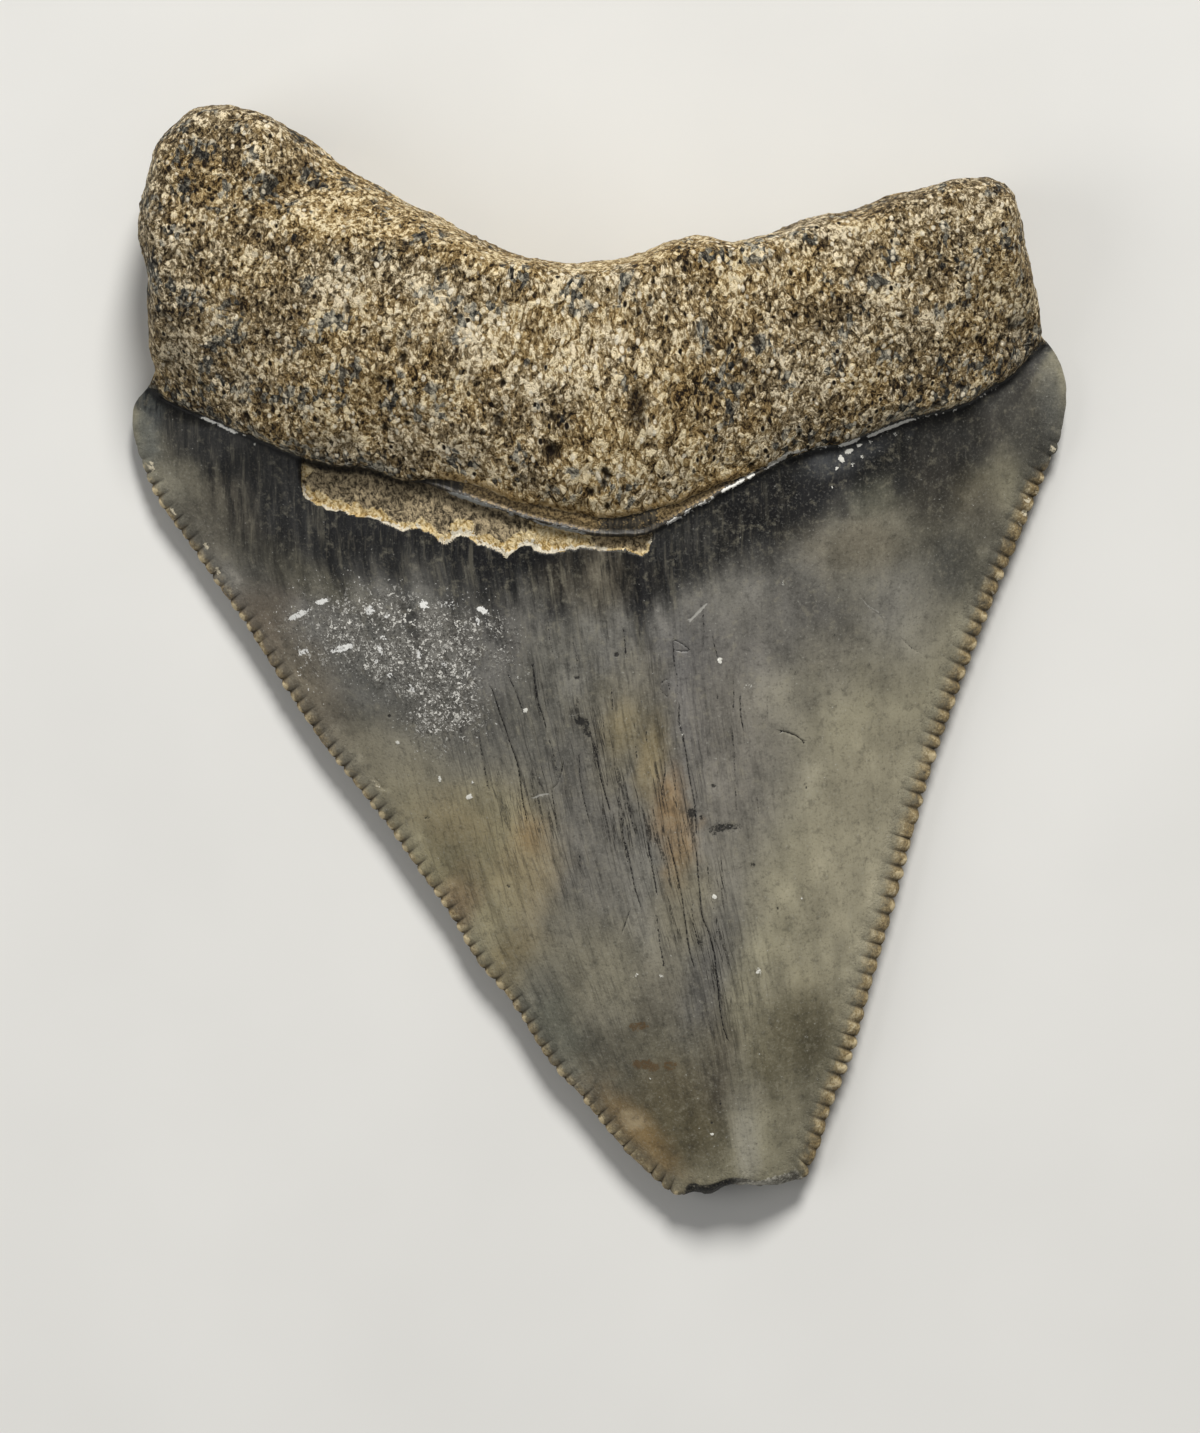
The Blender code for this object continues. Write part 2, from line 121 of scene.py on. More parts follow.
# Strength, across the frame, of the painted highlight along the enamel edge (GLINT_AT) and of the painted shadow under
# the root's lower edge (SHADOW_AT).
GLINT_AT = [(195, 0.0), (207, 0.85), (235, 0.8), (252, 0.1), (335, 0.1), (345, 0.45), (385, 0.45), (395, 0.1), (443, 0.1),
            (452, 0.95), (515, 0.8), (560, 0.75), (583, 0.8), (592, 0.15), (662, 0.15), (670, 0.95), (692, 0.9), (745, 0.8),
            (780, 0.75), (836, 0.75), (841, 1.0), (852, 1.0), (862, 0.8), (880, 0.85), (892, 1.0), (901, 0.9), (915, 0.5),
            (985, 0.4), (1010, 0.2), (1040, 0.1)]
SHADOW_AT = [(130, 0.2), (155, 0.9), (330, 1.0), (420, 0.85), (450, 0.3), (590, 0.2), (600, 0.35), (665, 0.35), (680, 0.15),
             (830, 0.10), (915, 0.2), (950, 0.95), (1015, 0.95), (1040, 0.3)]
# Enamel line on the flat labial face.
LABIAL_LINE = [(-24.5, 13.2), (-22.9, 12.9), (-19.0, 12.3), (-14.0, 11.7), (-7.0, 11.3), (1.0, 11.2),
               (8.0, 11.8), (14.0, 12.8), (19.0, 14.1), (22.9, 15.4), (24.5, 16.2)]


# =============================================================== noise
def mixed(i, j, k, seed):
    h = (i * 73856093) ^ (j * 19349663) ^ (k * 83492791) ^ (seed * 2654435 + 97)
    h &= 0xFFFFFFFF
    for _ in range(2):
        h ^= h >> 16
        h = (h * 0x45D9F3B) & 0xFFFFFFFF
    h ^= h >> 16
    return h / 4294967295.0


def smooth(a, b, x):
    t = np.clip((np.asarray(x, float) - a) / (b - a), 0.0, 1.0)
    return t * t * (3.0 - 2.0 * t)


def noise(p, scale, seed=0):
    q = p / scale
    base = np.floor(q).astype(np.int64)
    f = q - base
    f = f * f * f * (f * (f * 6 - 15) + 10)
    total = np.zeros(len(p))
    for dx in (0, 1):
        for dy in (0, 1):
            for dz in (0, 1):
                w = ((f[:, 0] if dx else 1 - f[:, 0]) * (f[:, 1] if dy else 1 - f[:, 1])
                     * (f[:, 2] if dz else 1 - f[:, 2]))
                total += w * mixed(base[:, 0] + dx, base[:, 1] + dy, base[:, 2] + dz, seed)
    return total


def fbm(p, scale, octaves=4, seed=0, gain=0.5):
    total, weight, norm = np.zeros(len(p)), 1.0, 0.0
    for o in range(octaves):
        total += weight * noise(p, scale / 2 ** o, seed + 31 * o)
        norm += weight
        weight *= gain
    return total / norm


def cells(p, size, seed=0):
    """Distance to the nearest and the second nearest of scattered points, and the nearest one's number."""
    q = p / size
    base = np.floor(q).astype(np.int64)
    best = np.full(len(p), 9.0)
    second = np.full(len(p), 9.0)
    number = np.zeros(len(p))
    for dx in (-1, 0, 1):
        for dy in (-1, 0, 1):
            for dz in (-1, 0, 1):
                i, j, k = base[:, 0] + dx, base[:, 1] + dy, base[:, 2] + dz
                cx = i + mixed(i, j, k, seed)
                cy = j + mixed(i, j, k, seed + 1)
                cz = k + mixed(i, j, k, seed + 2)
                d = np.sqrt((q[:, 0] - cx) ** 2 + (q[:, 1] - cy) ** 2 + (q[:, 2] - cz) ** 2)
                closer = d < best
                second = np.where(closer, best, np.minimum(second, d))
                number = np.where(closer, mixed(i, j, k, seed + 3), number)
                best = np.where(closer, d, best)
    return best, second, number


def flat(xy):
    return np.column_stack([xy, np.zeros(len(xy))])


# =============================================================== curves
def lengths(line):
    return np.concatenate([[0.0], np.cumsum(np.linalg.norm(np.diff(line, axis=0), axis=1))])


def resample(line, step):
    s = lengths(line)
    t = np.linspace(0, s[-1], max(2, int(round(s[-1] / step)) + 1))
    return np.stack([np.interp(t, s, line[:, 0]), np.interp(t, s, line[:, 1])], axis=1)


def spline(points, step):
    p = np.array(points, float)
    p = np.vstack([2 * p[0] - p[1], p, 2 * p[-1] - p[-2]])
    out = []
    for i in range(1, len(p) - 2):
        a, b, c, d = p[i - 1], p[i], p[i + 1], p[i + 2]
        n = max(2, int(round(np.linalg.norm(c - b) / step * 4)))
        t = np.linspace(0, 1, n, endpoint=False)[:, None]
        out.append(0.5 * (2 * b + (c - a) * t + (2 * a - 5 * b + 4 * c - d) * t ** 2
                          + (3 * b - a - 3 * c + d) * t ** 3))
    out.append(p[-2][None, :])
    return resample(np.vstack(out), step)


def wander(line, amount, scale, seed):
    """A line with a ragged course: its points moved across it by noise."""
    turn = np.gradient(line, axis=0)
    turn /= np.linalg.norm(turn, axis=1)[:, None]
    side = np.stack([-turn[:, 1], turn[:, 0]], 1)
    s = lengths(line)
    move = fbm(np.stack([s, s * 0 + 3.3, s * 0], 1), scale, 4, seed, 0.6) - 0.5
    return line + side * (2 * amount * move)[:, None]


class Line:
    """A finely sampled line in plan, with quick distances to it."""

    def __init__(self, points, step=0.06):
        self.p = resample(np.asarray(points, float), step)
        self.tree = KDTree(len(self.p))
        for i, (x, y) in enumerate(self.p):
            self.tree.insert((x, y, 0.0), i)
        self.tree.balance()
        self.s = lengths(self.p)

    def near(self, xy):
        """Distance (positive on the line's left), and the length along it."""
        find = self.tree.find
        idx = np.array([find((x, y, 0.0))[1] for x, y in xy], int)
        best = np.full(len(xy), 1e9)
        sign = np.ones(len(xy))
        along = np.zeros(len(xy))
        for off in (-1, 0):
            a = np.clip(idx + off, 0, len(self.p) - 2)
            start, vec = self.p[a], self.p[a + 1] - self.p[a]
            rel = xy - start
            f = np.clip((rel * vec).sum(1) / np.maximum((vec ** 2).sum(1), 1e-12), 0, 1)
            d = np.linalg.norm(rel - vec * f[:, None], axis=1)
            closer = d < best
            best = np.where(closer, d, best)
            sign = np.where(closer, np.sign(vec[:, 0] * rel[:, 1] - vec[:, 1] * rel[:, 0]), sign)
            along = np.where(closer, self.s[a] + f * np.linalg.norm(vec, axis=1), along)
        return best * np.where(sign == 0, 1, sign), along


LEFT_LINE = Line(spline([(-22.5, 13.5)] + EDGE_LEFT[::-1], 0.2), 0.2)
RIGHT_LINE = Line(spline([(22.05, 15.9)] + EDGE_RIGHT, 0.2), 0.2)
ENAMEL = Line(wander(spline(ENAMEL_LINE, 0.05), 0.07, 0.9, 5))
ROOT_EDGE = Line(wander(spline(ROOT_END, 0.05), 0.10, 0.7, 6))
BROKEN = Line(wander(wander(wander(resample(path(*BREAK), 0.04), 0.10, 1.1, 9), 0.09, 0.30, 10), 0.08, 0.16, 12), 0.04)
LABIAL = Line(wander(spline(LABIAL_LINE, 0.05), 0.10, 1.2, 7))


# =============================================================== shape
def edge_height(y):
    return np.interp(y, [-27.0, 12.0], [EDGE_Z_TIP, EDGE_Z_BASE])


def across(xy):
    left = np.abs(LEFT_LINE.near(xy)[0])
    right = np.abs(RIGHT_LINE.near(xy)[0])
    return (left - right) / np.maximum(left + right, 1e-6), np.minimum(left, right)


def crown_top(xy, q):
    crest = np.interp(xy[:, 1], [c[0] for c in CROWN_CREST], [c[1] for c in CROWN_CREST])
    low = edge_height(xy[:, 1])
    return low + (crest - low) * (1.0 - np.abs(q) ** LENS_POWER)


def root_top(xy):
    x, y = xy[:, 0], xy[:, 1]
    z = ROOT_THICK * (1.0 - ROOT_SIDE_DROP * np.clip(np.abs(x) / 23.0, 0, 1.2) ** 2.2)
    return z - ROOT_TOP_DROP * np.clip(y - 11.0, 0, None) ** 2


def basal(xy):
    """How far a point is past the basal ridge, or -9 where there is none."""
    px = np.array([at(*r) for r in RIDGE])
    wave = 0.12 * (noise(flat(xy), 1.3, 3) - 0.5)
    over = xy[:, 1] - np.interp(xy[:, 0], px[:, 0], px[:, 1]) + wave
    ends = np.minimum(xy[:, 0] - at(262, 0)[0], at(742, 0)[0] - xy[:, 0])
    return np.where(ends > 0, np.minimum(over, ends * 0.9), -9.0)


def strip_mask(xy, below):
    """1 where the enamel has broken off, between the enamel line and the ragged break."""
    d, _ = BROKEN.near(xy)
    room = smooth(at(299, 0)[0], at(307, 0)[0], xy[:, 0]) * (1 - smooth(at(646, 0)[0], at(656, 0)[0], xy[:, 0]))
    return smooth(-0.03, 0.03, d) * room * (below < 0.02), d


def lingual(xy):
    """Height of the upper face and what lies there."""
    q, edge = across(xy)
    crown = crown_top(xy, q)
    he, _ = ENAMEL.near(xy)
    hr, _ = ROOT_EDGE.near(xy)
    step = ROOT_STEP_MID + (ROOT_STEP_SIDE - ROOT_STEP_MID) * smooth(8, 20, np.abs(xy[:, 0]))
    band = (0.17 * smooth(-0.05, 0.10, he) + 0.09 * np.exp(-((he - 0.03) / 0.10) ** 2)
            - 0.10 * np.exp(-((he - 0.34) / 0.13) ** 2) * (hr < 0.0))
    lift = (step - 0.17) * smooth(-0.04, 0.22, hr)
    swell = (root_top(xy) - crown - step) * (1.0 - np.exp(-np.clip(hr, 0, None) / ROOT_SWELL))
    strip, db = strip_mask(xy, he)
    over = basal(xy)
    swell = swell - 0.80 * 0.5 * (over + np.sqrt(over ** 2 + 0.01)) * (over > -3)
    z = crown + band + lift + np.where(hr > 0, swell, 0.0)
    z = z - 0.34 * strip * smooth(-0.02, 0.12, db)
    return z, dict(q=q, edge=edge, he=he, hr=hr, strip=strip, db=db)


def labial(xy):
    """Height of the lower face and what lies there."""
    x, y = xy[:, 0], xy[:, 1]
    q, edge = across(xy)
    rho = np.sqrt(((x - REST_X) / REST_A) ** 2 + ((y - REST_Y) / REST_B) ** 2)
    z = LABIAL_RISE * np.clip(rho - 1.0, 0, None) ** 2
    crown = 1.0 - smooth(9.0, 13.5, y)
    turn = np.clip((np.abs(q) - 0.62) / 0.38, 0, 1) ** 2
    z = z + crown * turn * np.clip(edge_height(y) - z, 0, None) * 0.9
    hl, _ = LABIAL.near(xy)
    step = 0.10 * smooth(0.05, -0.12, hl) * np.clip(rho - 1.0, 0, 1)      # enamel stands a little proud
    return z - step, dict(q=q, edge=edge, he=hl, hr=hl, strip=np.zeros(len(xy)), db=np.full(len(xy), -9.0))


# =============================================================== silhouette
RNG = np.random.default_rng(73)


def bead(phase):
    return np.abs(np.sin(np.pi * phase)) ** 0.8


def section(points, step, crown=0.0, tip=0.0, spacing=0.0, amp=0.0, lead=0.0, fade=1.0, rough=0.0):
    full = spline(points, 0.02)
    s = lengths(full)
    if spacing:
        count = int(round((s[-1] - lead) / spacing))
        pitch = spacing * (1 + 0.16 * (RNG.random(count) - 0.5) * 2)
        ends = lead + np.concatenate([[0], np.cumsum(pitch)]) * (s[-1] - lead) / pitch.sum()
        size = 1.0 + 0.9 * (RNG.random(count) - 0.5)
        size[RNG.random(count) < 0.07] *= 0.15
        stations, value, amount = [], [], []
        for a in np.arange(0, lead, 0.13):
            stations.append(a); value.append(0.5); amount.append(0.0)
        for k in range(count):
            for f in (0.0, 0.08, 0.2, 0.36, 0.5, 0.64, 0.8, 0.92):
                stations.append(ends[k] + f * (ends[k + 1] - ends[k]))
                value.append(bead(f)); amount.append(size[k])
        stations, value, amount = map(np.array, (stations, value, amount))
        grow = amp * np.clip((stations - lead) / fade, 0.0, 1.0)
    else:
        stations = np.arange(0, s[-1] - step * 0.4, step)
        value, amount, grow = stations * 0 + 0.5, stations * 0, stations * 0
    xy = np.stack([np.interp(stations, s, full[:, 0]), np.interp(stations, s, full[:, 1])], 1)
    drift = (fbm(np.stack([stations, stations * 0 + points[0][0], stations * 0], 1), 2.2, 4, 11) - 0.5) * 2 * rough
    n = len(xy)
    return dict(xy=xy, out=grow * amount * (value - 0.5) + drift * smooth(0, 1.5, stations) * smooth(0, 1.5, s[-1] - stations),
                gap=(1 - value) * np.clip(amount * 1.3, 0, 1) * (grow / max(amp, 1e-6)),
                bump=value * np.clip(amount, 0, 1.4) * (grow / max(amp, 1e-6)),
                crown=np.full(n, crown), tip=np.full(n, tip))


def silhouette():
    right = [(22.05, 15.9)] + EDGE_RIGHT
    left = [TIP[-1]] + EDGE_LEFT + [(-22.5, 13.5)]
    parts = [
        section(ROOT_LEFT + [ROOT_TOP[0]], RIM_STEP_ROOT),
        section(ROOT_TOP + [ROOT_RIGHT[0]], RIM_STEP_ROOT),
        section(ROOT_RIGHT, RIM_STEP_ROOT),
        section(right, 0, 1.0, spacing=BEAD_RIGHT, amp=AMP_RIGHT, lead=4.3, fade=3.0, rough=0.05),
        section([EDGE_RIGHT[-1]] + TIP, 0.09, tip=1.0, rough=0.16),
    ]
    low = section(left[::-1], 0, 1.0, spacing=BEAD_LEFT, amp=AMP_LEFT, lead=2.6, fade=3.0, rough=0.07)
    for key in low:
        low[key] = np.concatenate([low[key][::-1][:1], low[key][::-1][:-1]])
    low["xy"][0] = left[0]
    low["out"][0] = 0.0
    parts.append(low)
    ring = {key: np.concatenate([p[key] for p in parts]) for key in parts[0]}
    xy = ring["xy"]
    closed = np.vstack([xy, xy[:1]])
    s, total = lengths(closed)[:-1], lengths(closed)[-1]
    seg = np.diff(np.append(s, total))
    seg = 0.5 * (seg + np.roll(seg, 1))

    def blur(values, width):
        gap = np.abs(s[:, None] - s[None, :])
        gap = np.minimum(gap, total - gap)
        w = np.exp(-0.5 * (gap / width) ** 2) * seg[None, :]
        w /= w.sum(1, keepdims=True)
        return w @ values

    tangent = np.roll(xy, -1, 0) - np.roll(xy, 1, 0)
    tangent /= np.linalg.norm(tangent, axis=1)[:, None]
    outward = np.stack([-tangent[:, 1], tangent[:, 0]], 1)
    near, wide = blur(outward, 0.35), blur(outward, 1.6)
    ring["near"] = near / np.linalg.norm(near, axis=1)[:, None]
    ring["wide"] = wide / np.linalg.norm(wide, axis=1)[:, None]
    ring["crown_mix"], ring["tip_mix"] = blur(ring["crown"], 0.9), blur(ring["tip"], 0.35)
    ring["s"] = s
    return ring


def arc_steps(width, height, step, power):
    """Places along a superellipse rim, from the silhouette (0) to the face (1), evenly spaced on its surface."""
    t = 1 - np.cos(np.linspace(0, math.pi / 2, 400)) ** 2
    t = np.unique(np.concatenate([t ** 3, t]))
    z = height * (1 - (1 - t) ** power) ** (1 / power)
    s = np.concatenate([[0], np.cumsum(np.hypot(np.diff(t * width), np.diff(z)))])
    n = int(round(s[-1] / step))
    return np.interp(np.linspace(0, s[-1], n + 1), s, t)


ARC_POWER = 2.8
UP_ROOT = arc_steps(RIM_ROOT, 6.2, 0.30, ARC_POWER)
UP_TIP = arc_steps(RIM_TIP, 1.1, 0.16, ARC_POWER)
UP_CROWN = np.array([0.0, 0.07, 0.18, 0.34, 0.52, 0.74, 1.0])
DOWN_ROOT = arc_steps(RIM_ROOT, 3.0, 0.36, ARC_POWER)
DOWN_TIP = arc_steps(RIM_TIP, 1.0, 0.24, ARC_POWER)
DOWN_CROWN = np.array([0.0, 0.08, 0.26, 0.55, 1.0])


def inside(poly, pts):
    x, y = pts[:, 0], pts[:, 1]
    hit = np.zeros(len(pts), bool)
    prev = poly[-1]
    for cur in poly:
        if cur[1] != prev[1]:
            cross = (cur[1] > y) != (prev[1] > y)
            hit ^= cross & (x < (prev[0] - cur[0]) * (y - cur[1]) / (prev[1] - cur[1]) + cur[0])
        prev = cur
    return hit


def hexes(lo, hi, step):
    rows = []
    for j, y in enumerate(np.arange(lo[1], hi[1], step * math.sqrt(3) / 2)):
        x = np.arange(lo[0] + (step / 2 if j % 2 else 0), hi[0], step)
        rows.append(np.stack([x, np.full(len(x), y)], 1))
    return np.vstack(rows)


def clear_of(points, others, margin):
    """The points that are at least margin from every other point."""
    if not len(points):
        return points
    tree = KDTree(len(others))
    for i, (x, y) in enumerate(others):
        tree.insert((x, y, 0.0), i)
    tree.balance()
    keep = np.array([tree.find((x, y, 0.0))[2] >= m for (x, y), m in zip(points, np.broadcast_to(margin, len(points)))])
    return points[keep]


def rows_along(line, offsets, step, jitter=0.0):
    p = resample(line, step)
    turn = np.gradient(p, axis=0)
    turn /= np.maximum(np.linalg.norm(turn, axis=1), 1e-9)[:, None]
    side = np.stack([-turn[:, 1], turn[:, 0]], 1)
    return np.vstack([p + side * o for o in offsets])


def thin(points, margin):
    """Drops points that crowd an earlier point."""
    tree_cell = {}
    keep = []
    for i, (x, y) in enumerate(points):
        a, b = int(math.floor(x / margin)), int(math.floor(y / margin))
        ok = True
        for u in (a - 1, a, a + 1):
            for v in (b - 1, b, b + 1):
                for j in tree_cell.get((u, v), ()):
                    if (points[j][0] - x) ** 2 + (points[j][1] - y) ** 2 < margin * margin:
                        ok = False
                        break
                if not ok:
                    break
            if not ok:
                break
        if ok:
            keep.append(i)
            tree_cell.setdefault((a, b), []).append(i)
    return points[keep]


def fill(outline, extra):
    co = [Vector(p) for p in np.vstack([outline, extra])]
    face = list(range(len(outline)))[::-1]
    verts, _, faces, orig, _, owner = delaunay_2d_cdt(co, [], [face], 1, 1e-7, True)
    assert len(verts) == len(co), ("the plan mesh changed its points", len(verts), len(co))
    back = [o[0] for o in orig]
    return np.array([[back[i] for i in f] for f, own in zip(faces, owner) if own], int)


# =============================================================== marks on the enamel
# Dark hairline cracks that run from the root towards the tip: points, half width in mm, strength.
CRACKS = [
    ([(493, 690), (500, 712), (506, 729), (510, 742), (517, 762), (520, 777), (522, 796), (527, 820)], 0.050, 0.95),
    ([(509, 675), (519, 699), (523, 712)], 0.040, 0.7),
    ([(533, 668), (538, 701), (543, 716), (546, 727)], 0.055, 1.0),
    ([(549, 738), (554, 755), (556, 768), (558, 780)], 0.040, 0.6),
    ([(563, 764), (560, 776), (556, 785), (552, 790), (555, 812), (557, 830)], 0.045, 0.75),
    ([(579, 755), (580, 777), (584, 799), (589, 820)], 0.045, 0.8),
    ([(593, 745), (597, 757), (600, 775), (605, 794), (609, 807)], 0.060, 1.0),
    ([(611, 690), (612, 708)], 0.040, 0.7),
    ([(623, 632), (624, 642), (625, 656)], 0.040, 0.8),
    ([(701, 612), (702, 633), (701, 651)], 0.040, 0.6),
    ([(711, 638), (713, 648), (716, 659)], 0.045, 0.7),
    ([(731, 677), (732, 695), (731, 712)], 0.035, 0.6),
    ([(738, 700), (739, 716), (741, 727)], 0.055, 0.9),
    ([(730, 729), (732, 750), (733, 772), (735, 809)], 0.035, 0.6),
    ([(678, 706), (678, 722), (682, 738), (685, 755), (688, 775), (691, 790), (694, 810), (695, 832)], 0.055, 0.95),
    ([(662, 750), (664, 768), (663, 779), (661, 794), (664, 812)], 0.045, 0.8),
    ([(633, 722), (635, 730)], 0.035, 0.5),
    ([(635, 746), (636, 757)], 0.040, 0.6),
    ([(645, 728), (646, 742)], 0.035, 0.5),
    ([(621, 818), (623, 838), (627, 860)], 0.045, 0.85),
    ([(625, 842), (630, 865), (634, 886), (640, 905)], 0.050, 0.9),
    ([(647, 842), (652, 868), (656, 892)], 0.070, 1.0),
    ([(667, 836), (674, 865), (680, 891), (684, 919), (688, 947), (693, 965)], 0.050, 0.95),
    ([(695, 850), (698, 886), (701, 914), (707, 929), (713, 952), (716, 978), (719, 1006), (722, 1024), (726, 1037)], 0.050, 1.0),
    ([(715, 915), (716, 937)], 0.035, 0.6),
    ([(720, 858), (721, 889)], 0.035, 0.6),
    ([(656, 915), (659, 942), (663, 962)], 0.040, 0.7),
    ([(622, 929), (628, 912)], 0.050, 0.8),
    ([(704, 1004), (710, 1030)], 0.035, 0.5),
    ([(755, 797), (757, 811)], 0.045, 0.7),
    ([(626, 800), (629, 811), (632, 823)], 0.040, 0.65),
    ([(579, 855), (581, 873), (583, 892)], 0.040, 0.5),
    ([(479, 731), (482, 752), (486, 775), (488, 787)], 0.040, 0.7),
    ([(548, 620), (550, 640), (553, 655)], 0.035, 0.5),
    ([(573, 645), (577, 662)], 0.035, 0.5),
    ([(765, 700), (766, 722)], 0.030, 0.4),
    ([(640, 700), (641, 716)], 0.030, 0.4),
    ([(690, 905), (694, 930), (699, 948)], 0.035, 0.6),
    ([(706, 862), (708, 884), (712, 905)], 0.035, 0.6),
    ([(672, 640), (672, 650), (673, 664), (675, 673)], 0.035, 0.7),
    ([(672, 640), (681, 645), (688, 651), (680, 652), (674, 651)], 0.045, 0.7),
    ([(676, 677), (676, 692)], 0.040, 0.5),
    ([(664, 680), (659, 685), (661, 692), (667, 697), (668, 690), (667, 681)], 0.030, 0.6),
    ([(781, 731), (788, 733), (795, 736), (800, 740)], 0.050, 1.0),
    ([(865, 607), (873, 613), (880, 619), (883, 628)], 0.025, 0.35),
    ([(902, 641), (908, 646), (915, 651)], 0.040, 0.5),
    ([(849, 640), (850, 656)], 0.030, 0.5),
]
# Pale scratches.
SCRATCHES = [
    ([(690, 620), (697, 613), (705, 605)], 0.09, 0.9),
    ([(534, 797), (541, 794), (548, 793)], 0.07, 0.9),
    ([(860, 600), (866, 607), (874, 611), (882, 618)], 0.05, 0.5),
    ([(568, 716), (583, 713)], 0.04, 0.35),
]
# Round marks: place, half width and half height in mm, turn in degrees, strength.
# White chips, and among them painted highlights: the glinting flecks along the root's lower edge and along the enamel
# edge on the right.
WHITE_CHIPS_AND_GLINTS = [(718, 660, 0.13, 0.22, 10, 1.0), (679, 725, 0.07, 0.12, 0, 0.6), (681, 733, 0.07, 0.14, 0, 0.7),
               (526, 710, 0.14, 0.16, 20, 0.8), (713, 895, 0.11, 0.12, 0, 1.0), (757, 969, 0.17, 0.27, 15, 0.55),
               (636, 973, 0.08, 0.12, 0, 0.7), (660, 974, 0.10, 0.09, 0, 0.6), (711, 1133, 0.08, 0.09, 0, 0.8),
               (650, 1077, 0.07, 0.08, 0, 0.7), (800, 897, 0.09, 0.07, 0, 0.4), (780, 585, 0.09, 0.12, 0, 0.5),
               (398, 742, 0.10, 0.10, 0, 0.9), (440, 778, 0.09, 0.18, 0, 0.9), (470, 796, 0.18, 0.13, 20, 0.9),
               (458, 717, 0.18, 0.20, 0, 0.9), (473, 781, 0.08, 0.10, 0, 0.6), (746, 686, 0.35, 0.20, 0, 0.25),
               (345, 711, 0.07, 0.08, 0, 0.5), (323, 704, 0.07, 0.08, 0, 0.4), (838, 462, 0.15, 0.20, 20, 0.9),
               (846, 454, 0.24, 0.13, 25, 1.0), (856, 448, 0.16, 0.10, 20, 0.8), (859, 459, 0.10, 0.08, 0, 0.7),
               (867, 444, 0.13, 0.09, 15, 0.7), (833, 471, 0.09, 0.12, 0, 0.8), (876, 453, 0.08, 0.08, 0, 0.5),
               (849, 467, 0.10, 0.13, 0, 0.6), (151, 466, 0.18, 0.26, 10, 0.8), (172, 511, 0.14, 0.20, 20, 0.8),
               (206, 546, 0.14, 0.20, 30, 0.8), (217, 571, 0.16, 0.30, 40, 0.6), (212, 419, 0.16, 0.10, -25, 0.9),
               (222, 425, 0.20, 0.10, -25, 0.9), (235, 431, 0.18, 0.10, -25, 0.9), (247, 436, 0.10, 0.09, -25, 0.8), (829, 489, 0.07, 0.09, 0, 0.6), (780, 505, 0.06, 0.08, 0, 0.4),
               (892, 437, 0.10, 0.08, 0, 0.6), (1053, 448, 0.16, 0.20, 20, 0.75), (1051, 459, 0.12, 0.14, 20, 0.7),
               (1037, 492, 0.14, 0.16, 20, 0.75), (1028, 501, 0.20, 0.16, 20, 0.85), (1025, 513, 0.14, 0.18, 20, 0.75),
               (1021, 524, 0.10, 0.14, 20, 0.6), (998, 578, 0.14, 0.12, 20, 0.6), (993, 592, 0.12, 0.10, 20, 0.55),
               (277, 682, 0.14, 0.14, 30, 0.75), (294, 707, 0.10, 0.14, 30, 0.5), (376, 785, 0.16, 0.22, 20, 0.5), (903, 462, 0.05, 0.06, 0, 0.4), (257, 446, 0.10, 0.07, -20, 0.7)]
# Painted highlights: the glints on the frosted patch.
GLINTS = [(323, 602, 0.36, 0.13, 14, 1.0), (299, 615, 0.62, 0.17, 24, 1.0), (371, 611, 0.26, 0.20, 40, 0.9),
          (425, 606, 0.24, 0.26, 50, 1.0), (483, 611, 0.32, 0.16, -25, 1.0), (479, 622, 0.10, 0.22, 10, 0.8),
          (303, 652, 0.30, 0.14, 20, 0.8), (344, 648, 0.52, 0.18, 12, 0.9), (334, 651, 0.14, 0.12, 0, 1.0),
          (388, 616, 0.20, 0.14, 0, 0.6), (378, 661, 0.16, 0.12, 30, 0.7), (391, 675, 0.16, 0.14, 30, 0.7),
          (381, 650, 0.12, 0.30, 15, 0.6), (420, 654, 0.12, 0.26, 10, 0.7), (413, 690, 0.20, 0.14, 0, 0.7),
          (385, 638, 0.18, 0.14, 0, 0.7), (450, 604, 0.42, 0.26, 0, 0.45), (445, 664, 0.2, 0.12, 0, 0.6),
          (298, 674, 0.14, 0.2, 0, 0.5), (410, 686, 0.12, 0.12, 0, 0.6)]
DARK_SPOTS = [(582, 722, 0.46, 0.26, -10, 0.9), (587, 731, 0.18, 0.35, 25, 0.8), (723, 826, 0.85, 0.22, 3, 0.75),
              (712, 829, 0.32, 0.22, 0, 0.5), (616, 655, 0.13, 0.13, 0, 0.9), (577, 678, 0.16, 0.10, -20, 0.8),
              (549, 703, 0.10, 0.10, 0, 0.4), (712, 785, 0.13, 0.13, 0, 0.8), (690, 812, 0.22, 0.30, 10, 0.9),
              (700, 817, 0.12, 0.14, 0, 0.7), (390, 716, 0.10, 0.10, 0, 0.9), (427, 817, 0.16, 0.10, 10, 0.6),
              (640, 863, 0.08, 0.12, 0, 0.4), (751, 864, 0.16, 0.18, 0, 0.6), (776, 907, 0.10, 0.10, 0, 0.6),
              (801, 887, 0.18, 0.12, 0, 0.3), (509, 885, 0.10, 0.10, 0, 0.6), (691, 1034, 0.10, 0.10, 0, 0.6),
              (711, 1121, 0.08, 0.08, 0, 0.7), (719, 1101, 0.10, 0.16, 0, 0.6), (804, 785, 0.12, 0.14, 0, 0.5),
              (831, 637, 0.20, 0.16, 0, 0.3), (867, 667, 0.10, 0.20, 0, 0.3), (511, 590, 0.18, 0.22, 0, 0.5),
              (793, 674, 0.1, 0.15, 0, 0.4), (716, 697, 0.08, 0.12, 0, 0.5), (788, 672, 0.12, 0.2, 0, 0.25)]
STAINS = [(638, 1025, 0.55, 0.26, 8, 0.75), (643, 1063, 0.70, 0.28, 0, 0.85), (653, 1066, 0.35, 0.25, 0, 0.8),
          (670, 1064, 0.40, 0.26, 0, 0.7), (685, 1035, 0.2, 0.1, 0, 0.3)]


